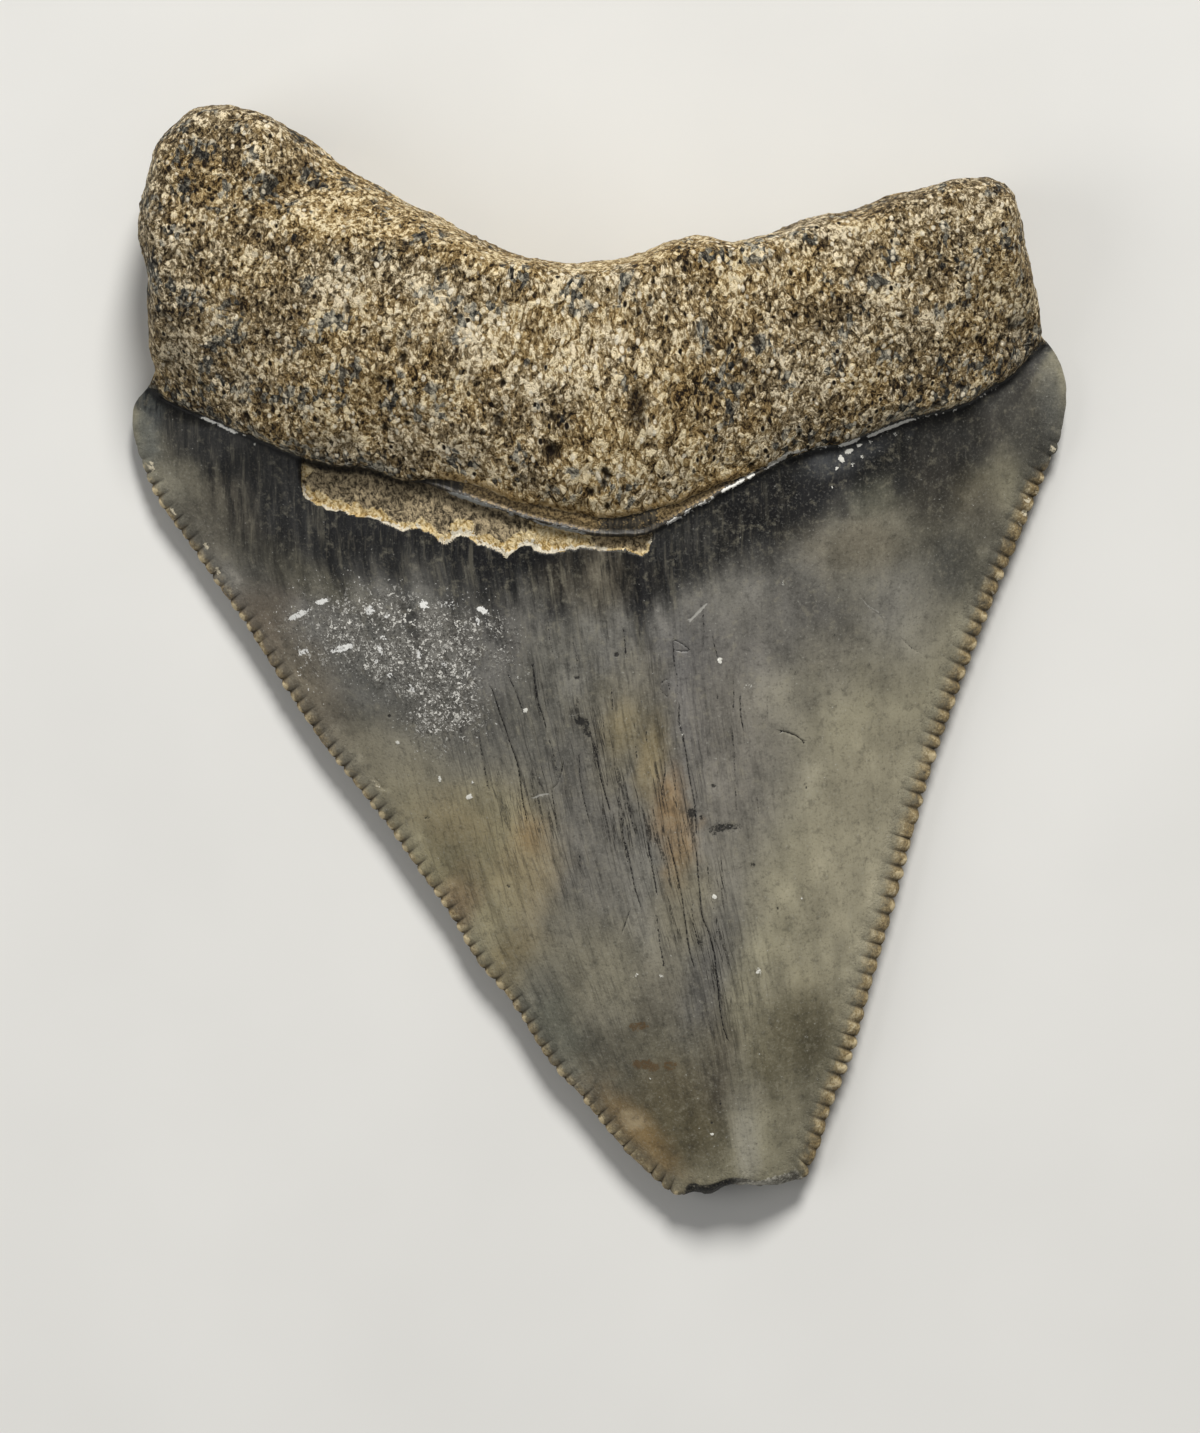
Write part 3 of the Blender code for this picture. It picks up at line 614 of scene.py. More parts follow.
def refined_marks():
    """Extra mesh points, so that cracks, scratches and small marks have points of their own."""
    rows = []
    for points, half, _ in CRACKS + SCRATCHES:
        line = spline([at(*p) for p in points], 0.05)
        rows.append(rows_along(line, (0.0, -half, half, -half * 2.4, half * 2.4), 0.12))
    for px, py, a, b, turn, _ in WHITE_CHIPS_AND_GLINTS + GLINTS + DARK_SPOTS + STAINS:
        x, y = at(px, py)
        c, s = math.cos(math.radians(turn)), math.sin(math.radians(turn))
        step = max(0.065, min(a, b) * 0.42)
        grow = 1.5
        pts = hexes((-a * grow - step, -b * grow - step), (a * grow + 2 * step, b * grow + 2 * step), step)
        pts = pts[(pts[:, 0] / (a * grow + step)) ** 2 + (pts[:, 1] / (b * grow + step)) ** 2 <= 1.0]
        rows.append(np.stack([x + pts[:, 0] * c - pts[:, 1] * s, y + pts[:, 0] * s + pts[:, 1] * c], 1))
    return np.vstack(rows)


def stroke(xy, points, half, soft=1.0):
    """0 to 1: how much a point lies on a thin stroke."""
    line = spline([at(*p) for p in points], 0.03)
    lo, hi = line.min(0) - half * 3, line.max(0) + half * 3
    near = np.where(((xy > lo) & (xy < hi)).all(1))[0]
    out = np.zeros(len(xy))
    if len(near):
        l = Line(line, 0.03)
        d, along = l.near(xy[near])
        taper = np.clip(np.minimum(along, l.s[-1] - along) / 0.25, 0.15, 1.0)
        out[near] = 1 - smooth(0.35, 1.35 * soft, np.abs(d) / (half * taper ** 0.5))
    return out


def blot(xy, px, py, a, b, turn=0.0, soft=0.5, wobble=0.0, seed=0):
    """0 to 1: how much a point lies on a soft-edged oval. soft is the share of the radius that fades."""
    x, y = at(px, py)
    out = np.zeros(len(xy))
    reach = max(a, b) * (1 + 0.6 * soft) / (1 - min(wobble, 0.6))
    near = np.where((np.abs(xy[:, 0] - x) < reach) & (np.abs(xy[:, 1] - y) < reach))[0]
    if not len(near):
        return out
    c, s = math.cos(math.radians(turn)), math.sin(math.radians(turn))
    dx, dy = xy[near, 0] - x, xy[near, 1] - y
    r = np.hypot((dx * c + dy * s) / a, (-dx * s + dy * c) / b)
    if wobble:
        r = r * (1 + wobble * (fbm(flat(xy[near]), min(a, b) * 0.8, 3, seed + int(px)) - 0.5) * 2)
    out[near] = 1 - smooth(1 - soft, 1 + soft * 0.6, r)
    return out


# =============================================================== the mesh
def build():
    ring = silhouette()
    n = len(ring["xy"])
    c, tip = ring["crown_mix"], ring["tip_mix"]
    width = c * np.where(ring["xy"][:, 0] < 5.0, RIM_LEFT, RIM_CROWN) + (1 - c) * ((1 - tip) * RIM_ROOT + tip * RIM_TIP)
    root_mid = np.interp(ring["xy"][:, 1], [13.0, 17.0, 22.0], [1.5, 2.9, 3.3])
    mid = c * edge_height(ring["xy"][:, 1]) + (1 - c) * ((1 - tip) * root_mid + tip * 1.45)

    xy, z, side, rim, station, faces = [], [], [], [], [], []
    info = {}

    def height(upper, places, t, j):
        """Heights of rim points: the face's own height, drawn in to the silhouette."""
        face, more = (lingual if upper else labial)(places)
        arc = (1 - (1 - t) ** ARC_POWER) ** (1 / ARC_POWER)
        half = EDGE_HALF * np.clip(t / 0.1, 0, 1)
        groove = ring["gap"][j] * (1 - t) ** 1.2 * np.clip(t / 0.07, 0, 1)
        if upper:
            edge = np.maximum(face, mid[j]) + half - 0.24 * groove
            top = c[j] * edge + (1 - c[j]) * (mid[j] + (face - mid[j]) * arc)
        else:
            edge = np.minimum(face, mid[j]) - half + 0.12 * groove
            top = c[j] * edge + (1 - c[j]) * (mid[j] - (mid[j] - face) * arc)
            top = np.maximum(top, 0.03)
        return np.where(t == 0, mid[j], top), more

    # The silhouette itself.
    place0 = ring["xy"] + ring["near"] * ring["out"][:, None]
    edge_info = lingual(place0)[1]
    blocks = [(place0, mid.copy(), np.zeros(n), np.zeros(n), np.arange(n), edge_info)]
    count = n
    for upper in (True, False):
        root_t, crown_t, tip_t = (UP_ROOT, UP_CROWN, UP_TIP) if upper else (DOWN_ROOT, DOWN_CROWN, DOWN_TIP)
        columns = []
        js, ts = [], []
        for j in range(n):
            t = crown_t if c[j] > 0.5 else (tip_t if tip[j] > 0.5 else root_t)
            ids = [j] + list(range(count + len(js), count + len(js) + len(t) - 1))
            js += [j] * (len(t) - 1)
            ts += list(t[1:])
            columns.append((ids, list(t)))
        js, ts = np.array(js), np.array(ts)
        places = ring["xy"][js] - ring["wide"][js] * (width[js] * ts)[:, None]
        places = places + ring["near"][js] * (ring["out"][js] * (1 - ts) ** 1.5)[:, None]
        zz, more = height(upper, places, ts, js)
        blocks.append((places, zz, np.full(len(js), 1.0 if upper else -1.0), ts, js, more))
        count += len(js)

        tris = []
        for j in range(n):
            (a, ta), (b, tb) = columns[j], columns[(j + 1) % n]
            i = k = 0
            while i < len(a) - 1 or k < len(b) - 1:
                if k >= len(b) - 1 or (i < len(a) - 1 and ta[i + 1] <= tb[k + 1]):
                    tris.append((a[i], a[i + 1], b[k]))
                    i += 1
                else:
                    tris.append((a[i], b[k + 1], b[k]))
                    k += 1
        inner_ids = [col[0][-1] for col in columns]
        inner = ring["xy"] - ring["wide"] * width[:, None]

        if upper:
            rows = [rows_along(ENAMEL.p, (-0.24, -0.13, -0.05, 0.0, 0.06, 0.13), FINE_LINE),
                    rows_along(ROOT_EDGE.p, (-0.12, -0.04, 0.02, 0.09, 0.18), FINE_LINE),
                    rows_along(BROKEN.p, (-0.16, -0.07, -0.025, 0.025, 0.08, 0.16), 0.09),
                    refined_marks()]
            rows = np.vstack(rows)
            rows = rows[inside(inner, rows)]
            rows = thin(rows, 0.042)
            root_grid = hexes(inner.min(0), inner.max(0), FINE_ROOT)
            root_grid = root_grid[root_grid[:, 1] > 5.0]
            root_grid = root_grid[inside(inner, root_grid)]
            he, _ = ENAMEL.near(root_grid)
            strip, _ = strip_mask(root_grid, he)
            root_grid = root_grid[(he > 0) | (strip > 0.4)]
            near_grid = hexes(inner.min(0), inner.max(0), 0.22)
            near_grid = near_grid[near_grid[:, 1] > -4.0]
            near_grid = near_grid[inside(inner, near_grid)]
            he, _ = ENAMEL.near(near_grid)
            strip, _ = strip_mask(near_grid, he)
            frost = frost_zone(near_grid)
            near_grid = near_grid[(he <= 0) & (strip < 0.4) & ((he > -2.6) | (frost > 0.1))]
            crown_grid = hexes(inner.min(0), inner.max(0), FINE_CROWN)
            crown_grid = crown_grid[inside(inner, crown_grid)]
            he, _ = ENAMEL.near(crown_grid)
            frost = frost_zone(crown_grid)
            crown_grid = crown_grid[(he <= -2.6) & (frost <= 0.1)]
            grid = np.vstack([root_grid, near_grid, crown_grid])
            space = np.concatenate([np.full(len(root_grid), 0.085), np.full(len(near_grid), 0.11), np.full(len(crown_grid), 0.13)])
            extra = np.vstack([rows, grid])
            space = np.concatenate([np.full(len(rows), 0.05), space])
        else:
            rows = rows_along(LABIAL.p, (-0.16, -0.06, 0.02, 0.12), 0.22)
            rows = rows[inside(inner, rows)]
            rows = thin(rows, 0.06)
            root_grid = hexes(inner.min(0), inner.max(0), LABIAL_ROOT)
            root_grid = root_grid[root_grid[:, 1] > 10.0]
            root_grid = root_grid[inside(inner, root_grid)]
            hl, _ = LABIAL.near(root_grid)
            root_grid = root_grid[hl > 0]
            crown_grid = hexes(inner.min(0), inner.max(0), LABIAL_CROWN)
            crown_grid = crown_grid[inside(inner, crown_grid)]
            hl, _ = LABIAL.near(crown_grid)
            crown_grid = crown_grid[hl <= 0]
            grid = np.vstack([root_grid, crown_grid])
            space = np.concatenate([np.full(len(rows), 0.08), np.full(len(root_grid), 0.13), np.full(len(crown_grid), 0.2)])
            extra = np.vstack([rows, grid])
        # Grid points stay clear of the rows and of the inner ring.
        n_rows = len(rows)
        edge_tree = clear_of(extra[:n_rows], inner, space[:n_rows])
        grid_ok = clear_of(extra[n_rows:], np.vstack([inner, edge_tree]), space[n_rows:])
        extra = np.vstack([edge_tree, grid_ok])
        zz, more = (lingual if upper else labial)(extra)
        blocks.append((extra, zz, np.full(len(extra), 1.0 if upper else -1.0), np.ones(len(extra)),
                       np.full(len(extra), -1), more))
        ids = np.array(inner_ids + list(range(count, count + len(extra))))
        count += len(extra)
        sheet = np.vstack([np.array(tris, int), ids[fill(inner, extra)]])
        pts = np.vstack([b[0] for b in blocks])
        a, b, d = pts[sheet[:, 0]], pts[sheet[:, 1]], pts[sheet[:, 2]]
        turn = (b[:, 0] - a[:, 0]) * (d[:, 1] - a[:, 1]) - (d[:, 0] - a[:, 0]) * (b[:, 1] - a[:, 1])
        # The rim's own triangles are wound by construction, the rest by their turn in plan.
        flip = (turn < 0) if upper else (turn > 0)
        band = len(tris)
        flip[:band] = not upper
        sheet[flip] = sheet[flip][:, ::-1]
        faces.append(sheet)

    xy = np.vstack([b[0] for b in blocks])
    z = np.concatenate([b[1] for b in blocks])
    data = {key: np.concatenate([b[5][key] for b in blocks]) for key in ("q", "edge", "he", "hr", "strip", "db")}
    data.update(side=np.concatenate([b[2] for b in blocks]), t=np.concatenate([b[3] for b in blocks]),
                station=np.concatenate([b[4] for b in blocks]))
    return xy, z, np.vstack(faces), data, ring, width


def frost_zone(xy):
    """The frosted patch on the left of the crown, speckled with painted glints."""
    a = blot(xy, 405, 640, 4.6, 2.6, -12, 0.35, 0.25, 3)
    b = blot(xy, 445, 700, 2.1, 2.6, 20, 0.4, 0.25, 4)
    d = blot(xy, 320, 635, 2.0, 2.2, 0, 0.5, 0.3, 5) * 0.6
    e = blot(xy, 493, 635, 1.0, 2.0, 30, 0.5, 0.3, 6) * 0.6
    return np.clip(np.maximum.reduce([a, b, d, e]), 0, 1)


def normals_of(co, faces):
    a, b, c = co[faces[:, 0]], co[faces[:, 1]], co[faces[:, 2]]
    fn = np.cross(b - a, c - a)
    out = np.zeros_like(co)
    for k in range(3):
        for axis in range(3):
            out[:, axis] += np.bincount(faces[:, k], fn[:, axis], len(co))
    return out / np.maximum(np.linalg.norm(out, axis=1), 1e-12)[:, None]


def root_relief(p, upper):
    """Relief and grain values of the porous root, in mm."""
    mid = np.exp(-((p[:, 0] - 1.5) / 9.0) ** 2) * upper
    q = p.copy()
    q[:, 1] = 13.0 + (p[:, 1] - 13.0) * (0.80 - 0.22 * mid)    # fibrous: grains stretched along the root
    warp = np.stack([noise(p, 0.6, 21), noise(p, 0.6, 22), noise(p, 0.6, 23)], 1) - 0.5
    q = q + warp * 0.16
    f1, f2, number = cells(q, 0.36, 40)
    g1, g2, small = cells(q, 0.21, 50)
    ridge = np.clip(f2 - f1, 0, 0.6) / 0.6                      # 0 between grains
    fine = np.clip(g2 - g1, 0, 0.6) / 0.6
    broad = fbm(p, 1.3, 4, 60) - 0.5
    grain = 0.55 * ridge * (0.35 + 0.9 * number) + 0.25 * fine + 0.9 * broad * 0.6
    pit_cells, _, which = cells(q + 3.7, 0.60, 70)
    pits = (which < 0.13) * (1 - smooth(0.14, 0.36, pit_cells + 0.5 * (noise(p, 0.28, 71) - 0.5)))
    relief = 0.125 * grain - 0.15 * pits
    return relief, grain, pits, number, small, q


def paint_strokes(xy, spots):
    total = np.zeros(len(xy))
    for px, py, a, b, turn, strength in spots:
        total = np.maximum(total, strength * blot(xy, px, py, a, b, turn, 0.35, 0.3, 8))
    return total


def make_tooth():
    xy, z, faces, d, ring, width = build()
    p = np.column_stack([xy, z])
    n = len(p)
    upper = (d["side"] >= 0).astype(float)
    # Which stretches are root: the enamel line decides, on the flat face its own line.
    root = smooth(-0.03, 0.06, d["hr"])
    band = smooth(-0.02, 0.04, d["he"]) * (1 - root) * upper
    strip = d["strip"] * (1 - root) * (1 - band)
    enamel = np.clip(1 - root - band - strip, 0, 1)

    relief, grain, pits, number, small, cellpos = root_relief(p, upper)
    rift = basal(xy)
    hollow = upper * (0.10 * np.exp(-(rift / 0.08) ** 2) * smooth(0.35, 0.55, noise(p, 0.8, 136)) + blot(xy, 637, 411, 0.50, 1.35, 0, 0.6, 0.3, 1) * 0.22 + blot(xy, 553, 456, 0.42, 0.45, 0, 0.6, 0.3, 2) * 0.28
                      + blot(xy, 280, 195, 0.65, 0.45, 10, 0.6, 0.3, 3) * 0.08 + blot(xy, 255, 235, 0.3, 0.3, 0, 0.6, 0.3, 4) * 0.12
                      + blot(xy, 352, 268, 0.25, 0.2, 0, 0.6, 0.3, 4) * 0.15)
    wave = (fbm(p, 5.5, 3, 80) - 0.5) * 0.60
    body = (fbm(p, 1.6, 3, 81) - 0.5) * 0.34
    ease = smooth(0.0, 0.8, np.abs(d["hr"]))
    under = np.where(d["side"] < 0, 0.45, 1.0)
    move = root * ((relief * under) + (wave + body) * ease * under - hollow)
    move += strip * (1.1 * relief + (fbm(p, 0.7, 3, 82) - 0.5) * 0.26)
    # Enamel: faint waves and lengthwise ripples, frost, cracks and scratches.
    flow_u, flow_v = flow(xy)
    ripple = fbm(np.column_stack([flow_u, flow_v * 0.12, z * 0]), 0.55, 3, 83) - 0.5
    top_band = smooth(-3.8, -0.2, d["he"])
    swell = (fbm(p, 6.0, 2, 84) - 0.5) * 0.16
    frost = frost_zone(xy) * upper * enamel
    crack = np.zeros(n)
    for points, half, strength in CRACKS:
        crack = np.maximum(crack, strength * stroke(xy, points, half))
    crack *= upper * enamel
    scratch = np.zeros(n)
    for points, half, strength in SCRATCHES:
        scratch = np.maximum(scratch, strength * stroke(xy, points, half))
    scratch *= upper * enamel
    # Pale marks: white chips and painted highlight flecks.
    white = paint_strokes(xy, WHITE_CHIPS_AND_GLINTS) * upper * enamel
    # Painted highlights on the frosted patch.
    glint = paint_strokes(xy, GLINTS) * upper * enamel
    dark = paint_strokes(xy, DARK_SPOTS) * upper * enamel
    stain = paint_strokes(xy, STAINS) * upper * enamel
    keep = smooth(0.2, 1.2, d["edge"])
    move += enamel * keep * (0.035 * ripple * (0.35 + 0.65 * top_band) + swell * upper
                             + frost * 0.05 * (fbm(p, 0.45, 3, 85) - 0.5)
                             - 0.055 * crack - 0.03 * scratch - 0.03 * dark + 0.02 * white)
    # The serrated margin and the broken tip are chipped.
    st = d["station"]
    on_rim = st >= 0
    j = np.where(on_rim, st, 0)
    fall = np.where(on_rim, (1 - d["t"]), 0.0)
    crown_rim = ring["crown_mix"][j] * fall
    tip_rim = ring["tip_mix"][j] * np.where(on_rim, 1.0, 0.0)
    move += crown_rim * 0.09 * (fbm(p, 0.5, 3, 86) - 0.5)
    move += tip_rim * (1 - 0.5 * d["t"]) * 0.30 * (fbm(p, 0.5, 4, 87) - 0.5)
    nrm = normals_of(p, faces)
    p = p + nrm * move[:, None]
    p[:, 2] = np.maximum(p[:, 2], 0.0)
    gap = ring["gap"][j] * ring["crown_mix"][j] * np.where(on_rim, (1 - d["t"]) ** 0.8, 0)
    bump = ring["bump"][j] * ring["crown_mix"][j] * np.where(on_rim, (1 - d["t"]) ** 1.6, 0)
    tip_break = tip_rim * (1 - smooth(0.45, 0.95, d["t"]))
    tip_pale = smooth(at(730, 0)[0], at(745, 0)[0], xy[:, 0]) * tip_rim

    # -------------------------------------------------- broad colour zones
    lab = (d["side"] < 0).astype(float)
    px = xy[:, 0] * 20 + 600
    enamel_paint, dark_band = enamel_colours(xy, d, flow_u, flow_v)
    root_warm, root_blue, root_cream, root_dark = root_zones(xy, p, d)
    flecks = fbm(p, 0.5, 3, 140)
    pale_wide = 0.36 + 0.22 * smooth(420, 450, px) * (1 - smooth(540, 570, px))
    rag = (1 - smooth(0.02, pale_wide, np.abs(d["db"] - 0.02) - 0.30 * (flecks - 0.5))) * upper * (d["strip"] > 0.01)
    rag *= smooth(0.38, 0.52, fbm(flat(xy), 0.9, 3, 141) + 0.10 * smooth(430, 445, px) * (1 - smooth(500, 520, px)))
    strip_warm = (1 - smooth(0.30, 0.70, d["db"] + 0.8 * (flecks - 0.5) + 0.7 * (fbm(flat(xy), 1.4, 2, 145) - 0.5))) * strip
    strip_warm = np.maximum(strip_warm, strip * smooth(500, 560, px) * 0.8) * (1 - 0.85 * smooth(578, 600, px) * (d["db"] > 0.12))
    glint_strength = np.interp(px, [g[0] for g in GLINT_AT], [g[1] for g in GLINT_AT])
    gl_noise = fbm(p, 0.7, 3, 142)
    sparkle = fbm(p, 0.34, 2, 146)
    lip = 1 - smooth(430, 452, px) * (1 - smooth(690, 760, px))
    outer = np.maximum(smooth(790, 840, px), 1 - smooth(255, 300, px))
    # crest is a painted highlight: the glinting line along the enamel edge, broken up by noise.
    crest = glint_strength * (1 + 0.3 * outer) * np.exp(-((d["he"] - 0.02 - 0.13 * lip + 0.28 * outer) / (0.08 + 0.06 * lip * (1 - outer))) ** 2) * upper * smooth(0.62 - 0.32 * glint_strength, 0.72 - 0.32 * glint_strength, 0.5 * gl_noise + 0.5 * sparkle)
    # Painted shadow: a dark line under the root's lower edge, one in the bourlette's groove and one just under the
    # painted highlight.
    dim = np.interp(px, [g[0] for g in SHADOW_AT], [g[1] for g in SHADOW_AT])
    line_dark = dim * upper * (1 - smooth(0.16, 0.42, -d["he"] + 0.20 * (gl_noise - 0.5))) * (d["hr"] < 0.05)
    line_dark = np.maximum(line_dark, 0.62 * band * (1 - smooth(0.02, 0.26, np.abs(d["he"] - 0.36))))
    line_dark = np.maximum(line_dark, glint_strength * upper * np.exp(-((d["he"] + 0.19) / 0.08) ** 2))
    line_dark *= (1 - 0.85 * np.clip(crest, 0, 1)) * (1 - 0.9 * np.clip(white, 0, 1))
    # Painted light: the root's lower edge on the right is lightened as if lit, and kept free of the darker zones.
    painted_ledge_light = (1 - smooth(0.15, 0.80, d["hr"])) * smooth(850, 890, px) * (1 - smooth(985, 1010, px)) * upper
    root_cream = np.maximum(root_cream, 0.9 * painted_ledge_light)
    root_dark = root_dark * (1 - painted_ledge_light)
    warm_line = np.exp(-((d["hr"] - 0.16) / 0.15) ** 2) * upper * smooth(425, 450, px) * (1 - smooth(730, 790, px))

    mesh = bpy.data.meshes.new("tooth_fine")
    co = (p + np.array([SHIFT[0], SHIFT[1], 0.0])) * MM
    mesh.from_pydata(co.tolist(), [], faces.tolist())
    mesh.update()

    def put(name, values):
        layer = mesh.attributes.new(name, "FLOAT", "POINT")
        layer.data.foreach_set("value", np.asarray(values, np.float32))

    put("root", root); put("band", band); put("strip", strip)
    # The pits value also carries the hollows; the root material fills both with painted shade.
    put("grain", np.clip(0.5 + grain, 0, 1)); put("pits", np.clip(pits + hollow * 3.5, 0, 1))
    put("crest", crest); put("line_dark", line_dark); put("warm_line", warm_line)
    put("crack", crack); put("scratch", scratch); put("white", white); put("glint", glint)
    put("dark", dark); put("stain", stain); put("frost", frost)
    put("gap", gap); put("bump", bump * np.where(flow_u < 0, 1.22, 1.0)); put("margin", crown_rim * np.where(flow_u < 0, 0.72, 1.0) * (0.15 + 0.85 * (1 - smooth(at(0, 490)[1], at(0, 440)[1], xy[:, 1])))); put("tip", tip_break); put("tippale", tip_pale)
    put("warm", root_warm); put("blue", root_blue); put("cream", root_cream); put("shade", root_dark)
    put("rag", rag); put("stripwarm", strip_warm); put("under", lab)
    put("topband", np.clip(dark_band, 0, 1) * enamel * (1 - 0.6 * smooth(640, 730, px)))
    put("cluster", fbm(p, 1.5, 3, 144) - 0.10 * smooth(760, 880, px) - 0.06 * (1 - smooth(180, 320, px)))
    lined = blot(xy, 590, 760, 8.0, 12.5, 8, 0.5, 0.35, 32)
    lined = np.maximum(lined, blot(xy, 705, 960, 3.0, 8.0, 10, 0.6, 0.3, 33))
    lined = np.maximum(lined, 0.8 * np.clip(dark_band, 0, 1) * (1 - smooth(720, 800, px)))
    put("lined", 0.22 + 0.78 * np.clip(lined, 0, 1))
    # Where the painted highlight along the edge is greyer.
    put("cool", smooth(440, 455, px) * (1 - smooth(590, 640, px)))
    put("bandwarm", band * smooth(0.10, 0.24, d["he"]) * smooth(452, 480, px) * (1 - smooth(700, 760, px))
        * (1 - 0.75 * smooth(588, 604, px) * (1 - smooth(650, 668, px))))
    hairs = (blot(xy, 600, 760, 6.5, 6.5, 0, 0.6, 0.2, 30) + blot(xy, 690, 900, 2.2, 8.5, 12, 0.6, 0.2, 31))
    put("hairs", np.clip(hairs, 0, 1) * upper * smooth(0.36, 0.56, fbm(np.column_stack([flow_u, flow_v * 0.3, flow_u * 0]), 1.2, 3, 143)))
    layer = mesh.attributes.new("paint", "FLOAT_COLOR", "POINT")
    layer.data.foreach_set("color", np.column_stack([enamel_paint, np.ones(n)]).astype(np.float32).ravel())
    layer = mesh.attributes.new("cellpos", "FLOAT_VECTOR", "POINT")
    layer.data.foreach_set("vector", cellpos.astype(np.float32).ravel())
    layer = mesh.attributes.new("flow", "FLOAT_VECTOR", "POINT")
    layer.data.foreach_set("vector", np.column_stack([flow_u, flow_v, lab * 7.0]).astype(np.float32).ravel())

    add_uv(mesh, xy, p, d, ring, width)
    mesh.shade_smooth()
    # Which finish each face takes: the stony root, plain enamel, frosted enamel, or the serrated margin.
    stony = (root + strip)[faces].mean(1) > 0.5
    frosty = (frost[faces] > 0.01).any(1)
    edgy = ((crown_rim + tip_rim + gap + bump)[faces] > 0.01).any(1)
    finish = np.where(stony, 0, np.where(edgy, 3, np.where(frosty, 2, 1)))
    mesh.polygons.foreach_set("material_index", finish.astype(np.int32))
    print("faces by finish", np.bincount(finish))
    tooth = bpy.data.objects.new("tooth_surface", mesh)
    bpy.context.scene.collection.objects.link(tooth)
    print("tooth_surface: points", n, "triangles", len(faces))
    return tooth


def flow(xy):
    """Coordinates along and across the crown's growth lines, which lean with its tip."""
    line = np.array([at(640, 400), at(640, 560), at(655, 700), at(680, 850), at(715, 1000), at(745, 1190), at(752, 1260)])
    ys = line[::-1, 1]
    axis = np.interp(xy[:, 1], ys, line[::-1, 0])
    drop = np.clip(at(0, 560)[1] - xy[:, 1], 0, None)
    k = np.exp(-0.008 * drop) * (1 - 0.25 * smooth(18, 33, drop))
    return (xy[:, 0] - axis) / k, xy[:, 1]


def srgb(r, g, b):
    """A colour given as it looks on screen, 0 to 255, as linear light."""
    v = np.array([r, g, b], float) / 255.0
    return np.where(v <= 0.04045, v / 12.92, ((v + 0.055) / 1.055) ** 2.4)


GREY = srgb(102, 100, 95)
DIM = srgb(84, 82, 80)
ASH = srgb(116, 114, 109)
CHARCOAL = srgb(38, 38, 38)
DEEP = srgb(15, 15, 17)
LAVENDER = srgb(96, 94, 95)
OLIVE = srgb(128, 123, 103)
KHAKI = srgb(121, 113, 86)
OCHRE = srgb(130, 114, 76)
AMBER = srgb(124, 99, 62)
MOSS = srgb(84, 84, 72)
LEFT_SHOULDER_SHEEN = srgb(88, 92, 90)
UMBER = srgb(87, 79, 58)
TIP_RIDGE_HIGHLIGHT = srgb(152, 148, 134)
SMOKE = srgb(66, 66, 64)
# How far the dark band under the root reaches into the crown, in mm, across the frame.
REACH = [(130, 1.0), (160, 2.2), (200, 4.0), (260, 5.8), (300, 6.4), (350, 6.8), (420, 6.2), (500, 5.6), (545, 4.6), (580, 3.4),
         (625, 4.2), (642, 6.6), (658, 4.2), (700, 5.6), (760, 6.5), (800, 6.7), (850, 5.9), (900, 5.8), (940, 7.3),
         (975, 5.4), (1005, 2.8), (1035, 1.2), (1070, 0.6)]

# Spots where the crown is lighter or darker than around: place, half-sizes in mm, turn, how light.
TONE_SPOTS = [(200, 520, 1.8, 1.2, -40, 0.72), (170, 440, 1.2, 1.6, 0, 0.74), (365, 572, 2.0, 0.9, -10, 0.80), (540, 602, 1.6, 1.0, 0, 0.76),
           (845, 622, 2.2, 1.4, 10, 0.86), (715, 1085, 1.0, 1.8, 8, 0.78), (770, 1072, 1.6, 1.8, 0, 0.82), (700, 1152, 1.0, 1.4, 0, 0.84),
           (402, 742, 1.6, 1.2, -40, 1.20), (585, 1004, 2.4, 2.2, -20, 1.17), (660, 1082, 1.2, 1.3, -10, 1.20), (592, 805, 1.2, 1.8, 0, 1.12),
           (900, 700, 1.4, 1.8, 0, 0.92)]


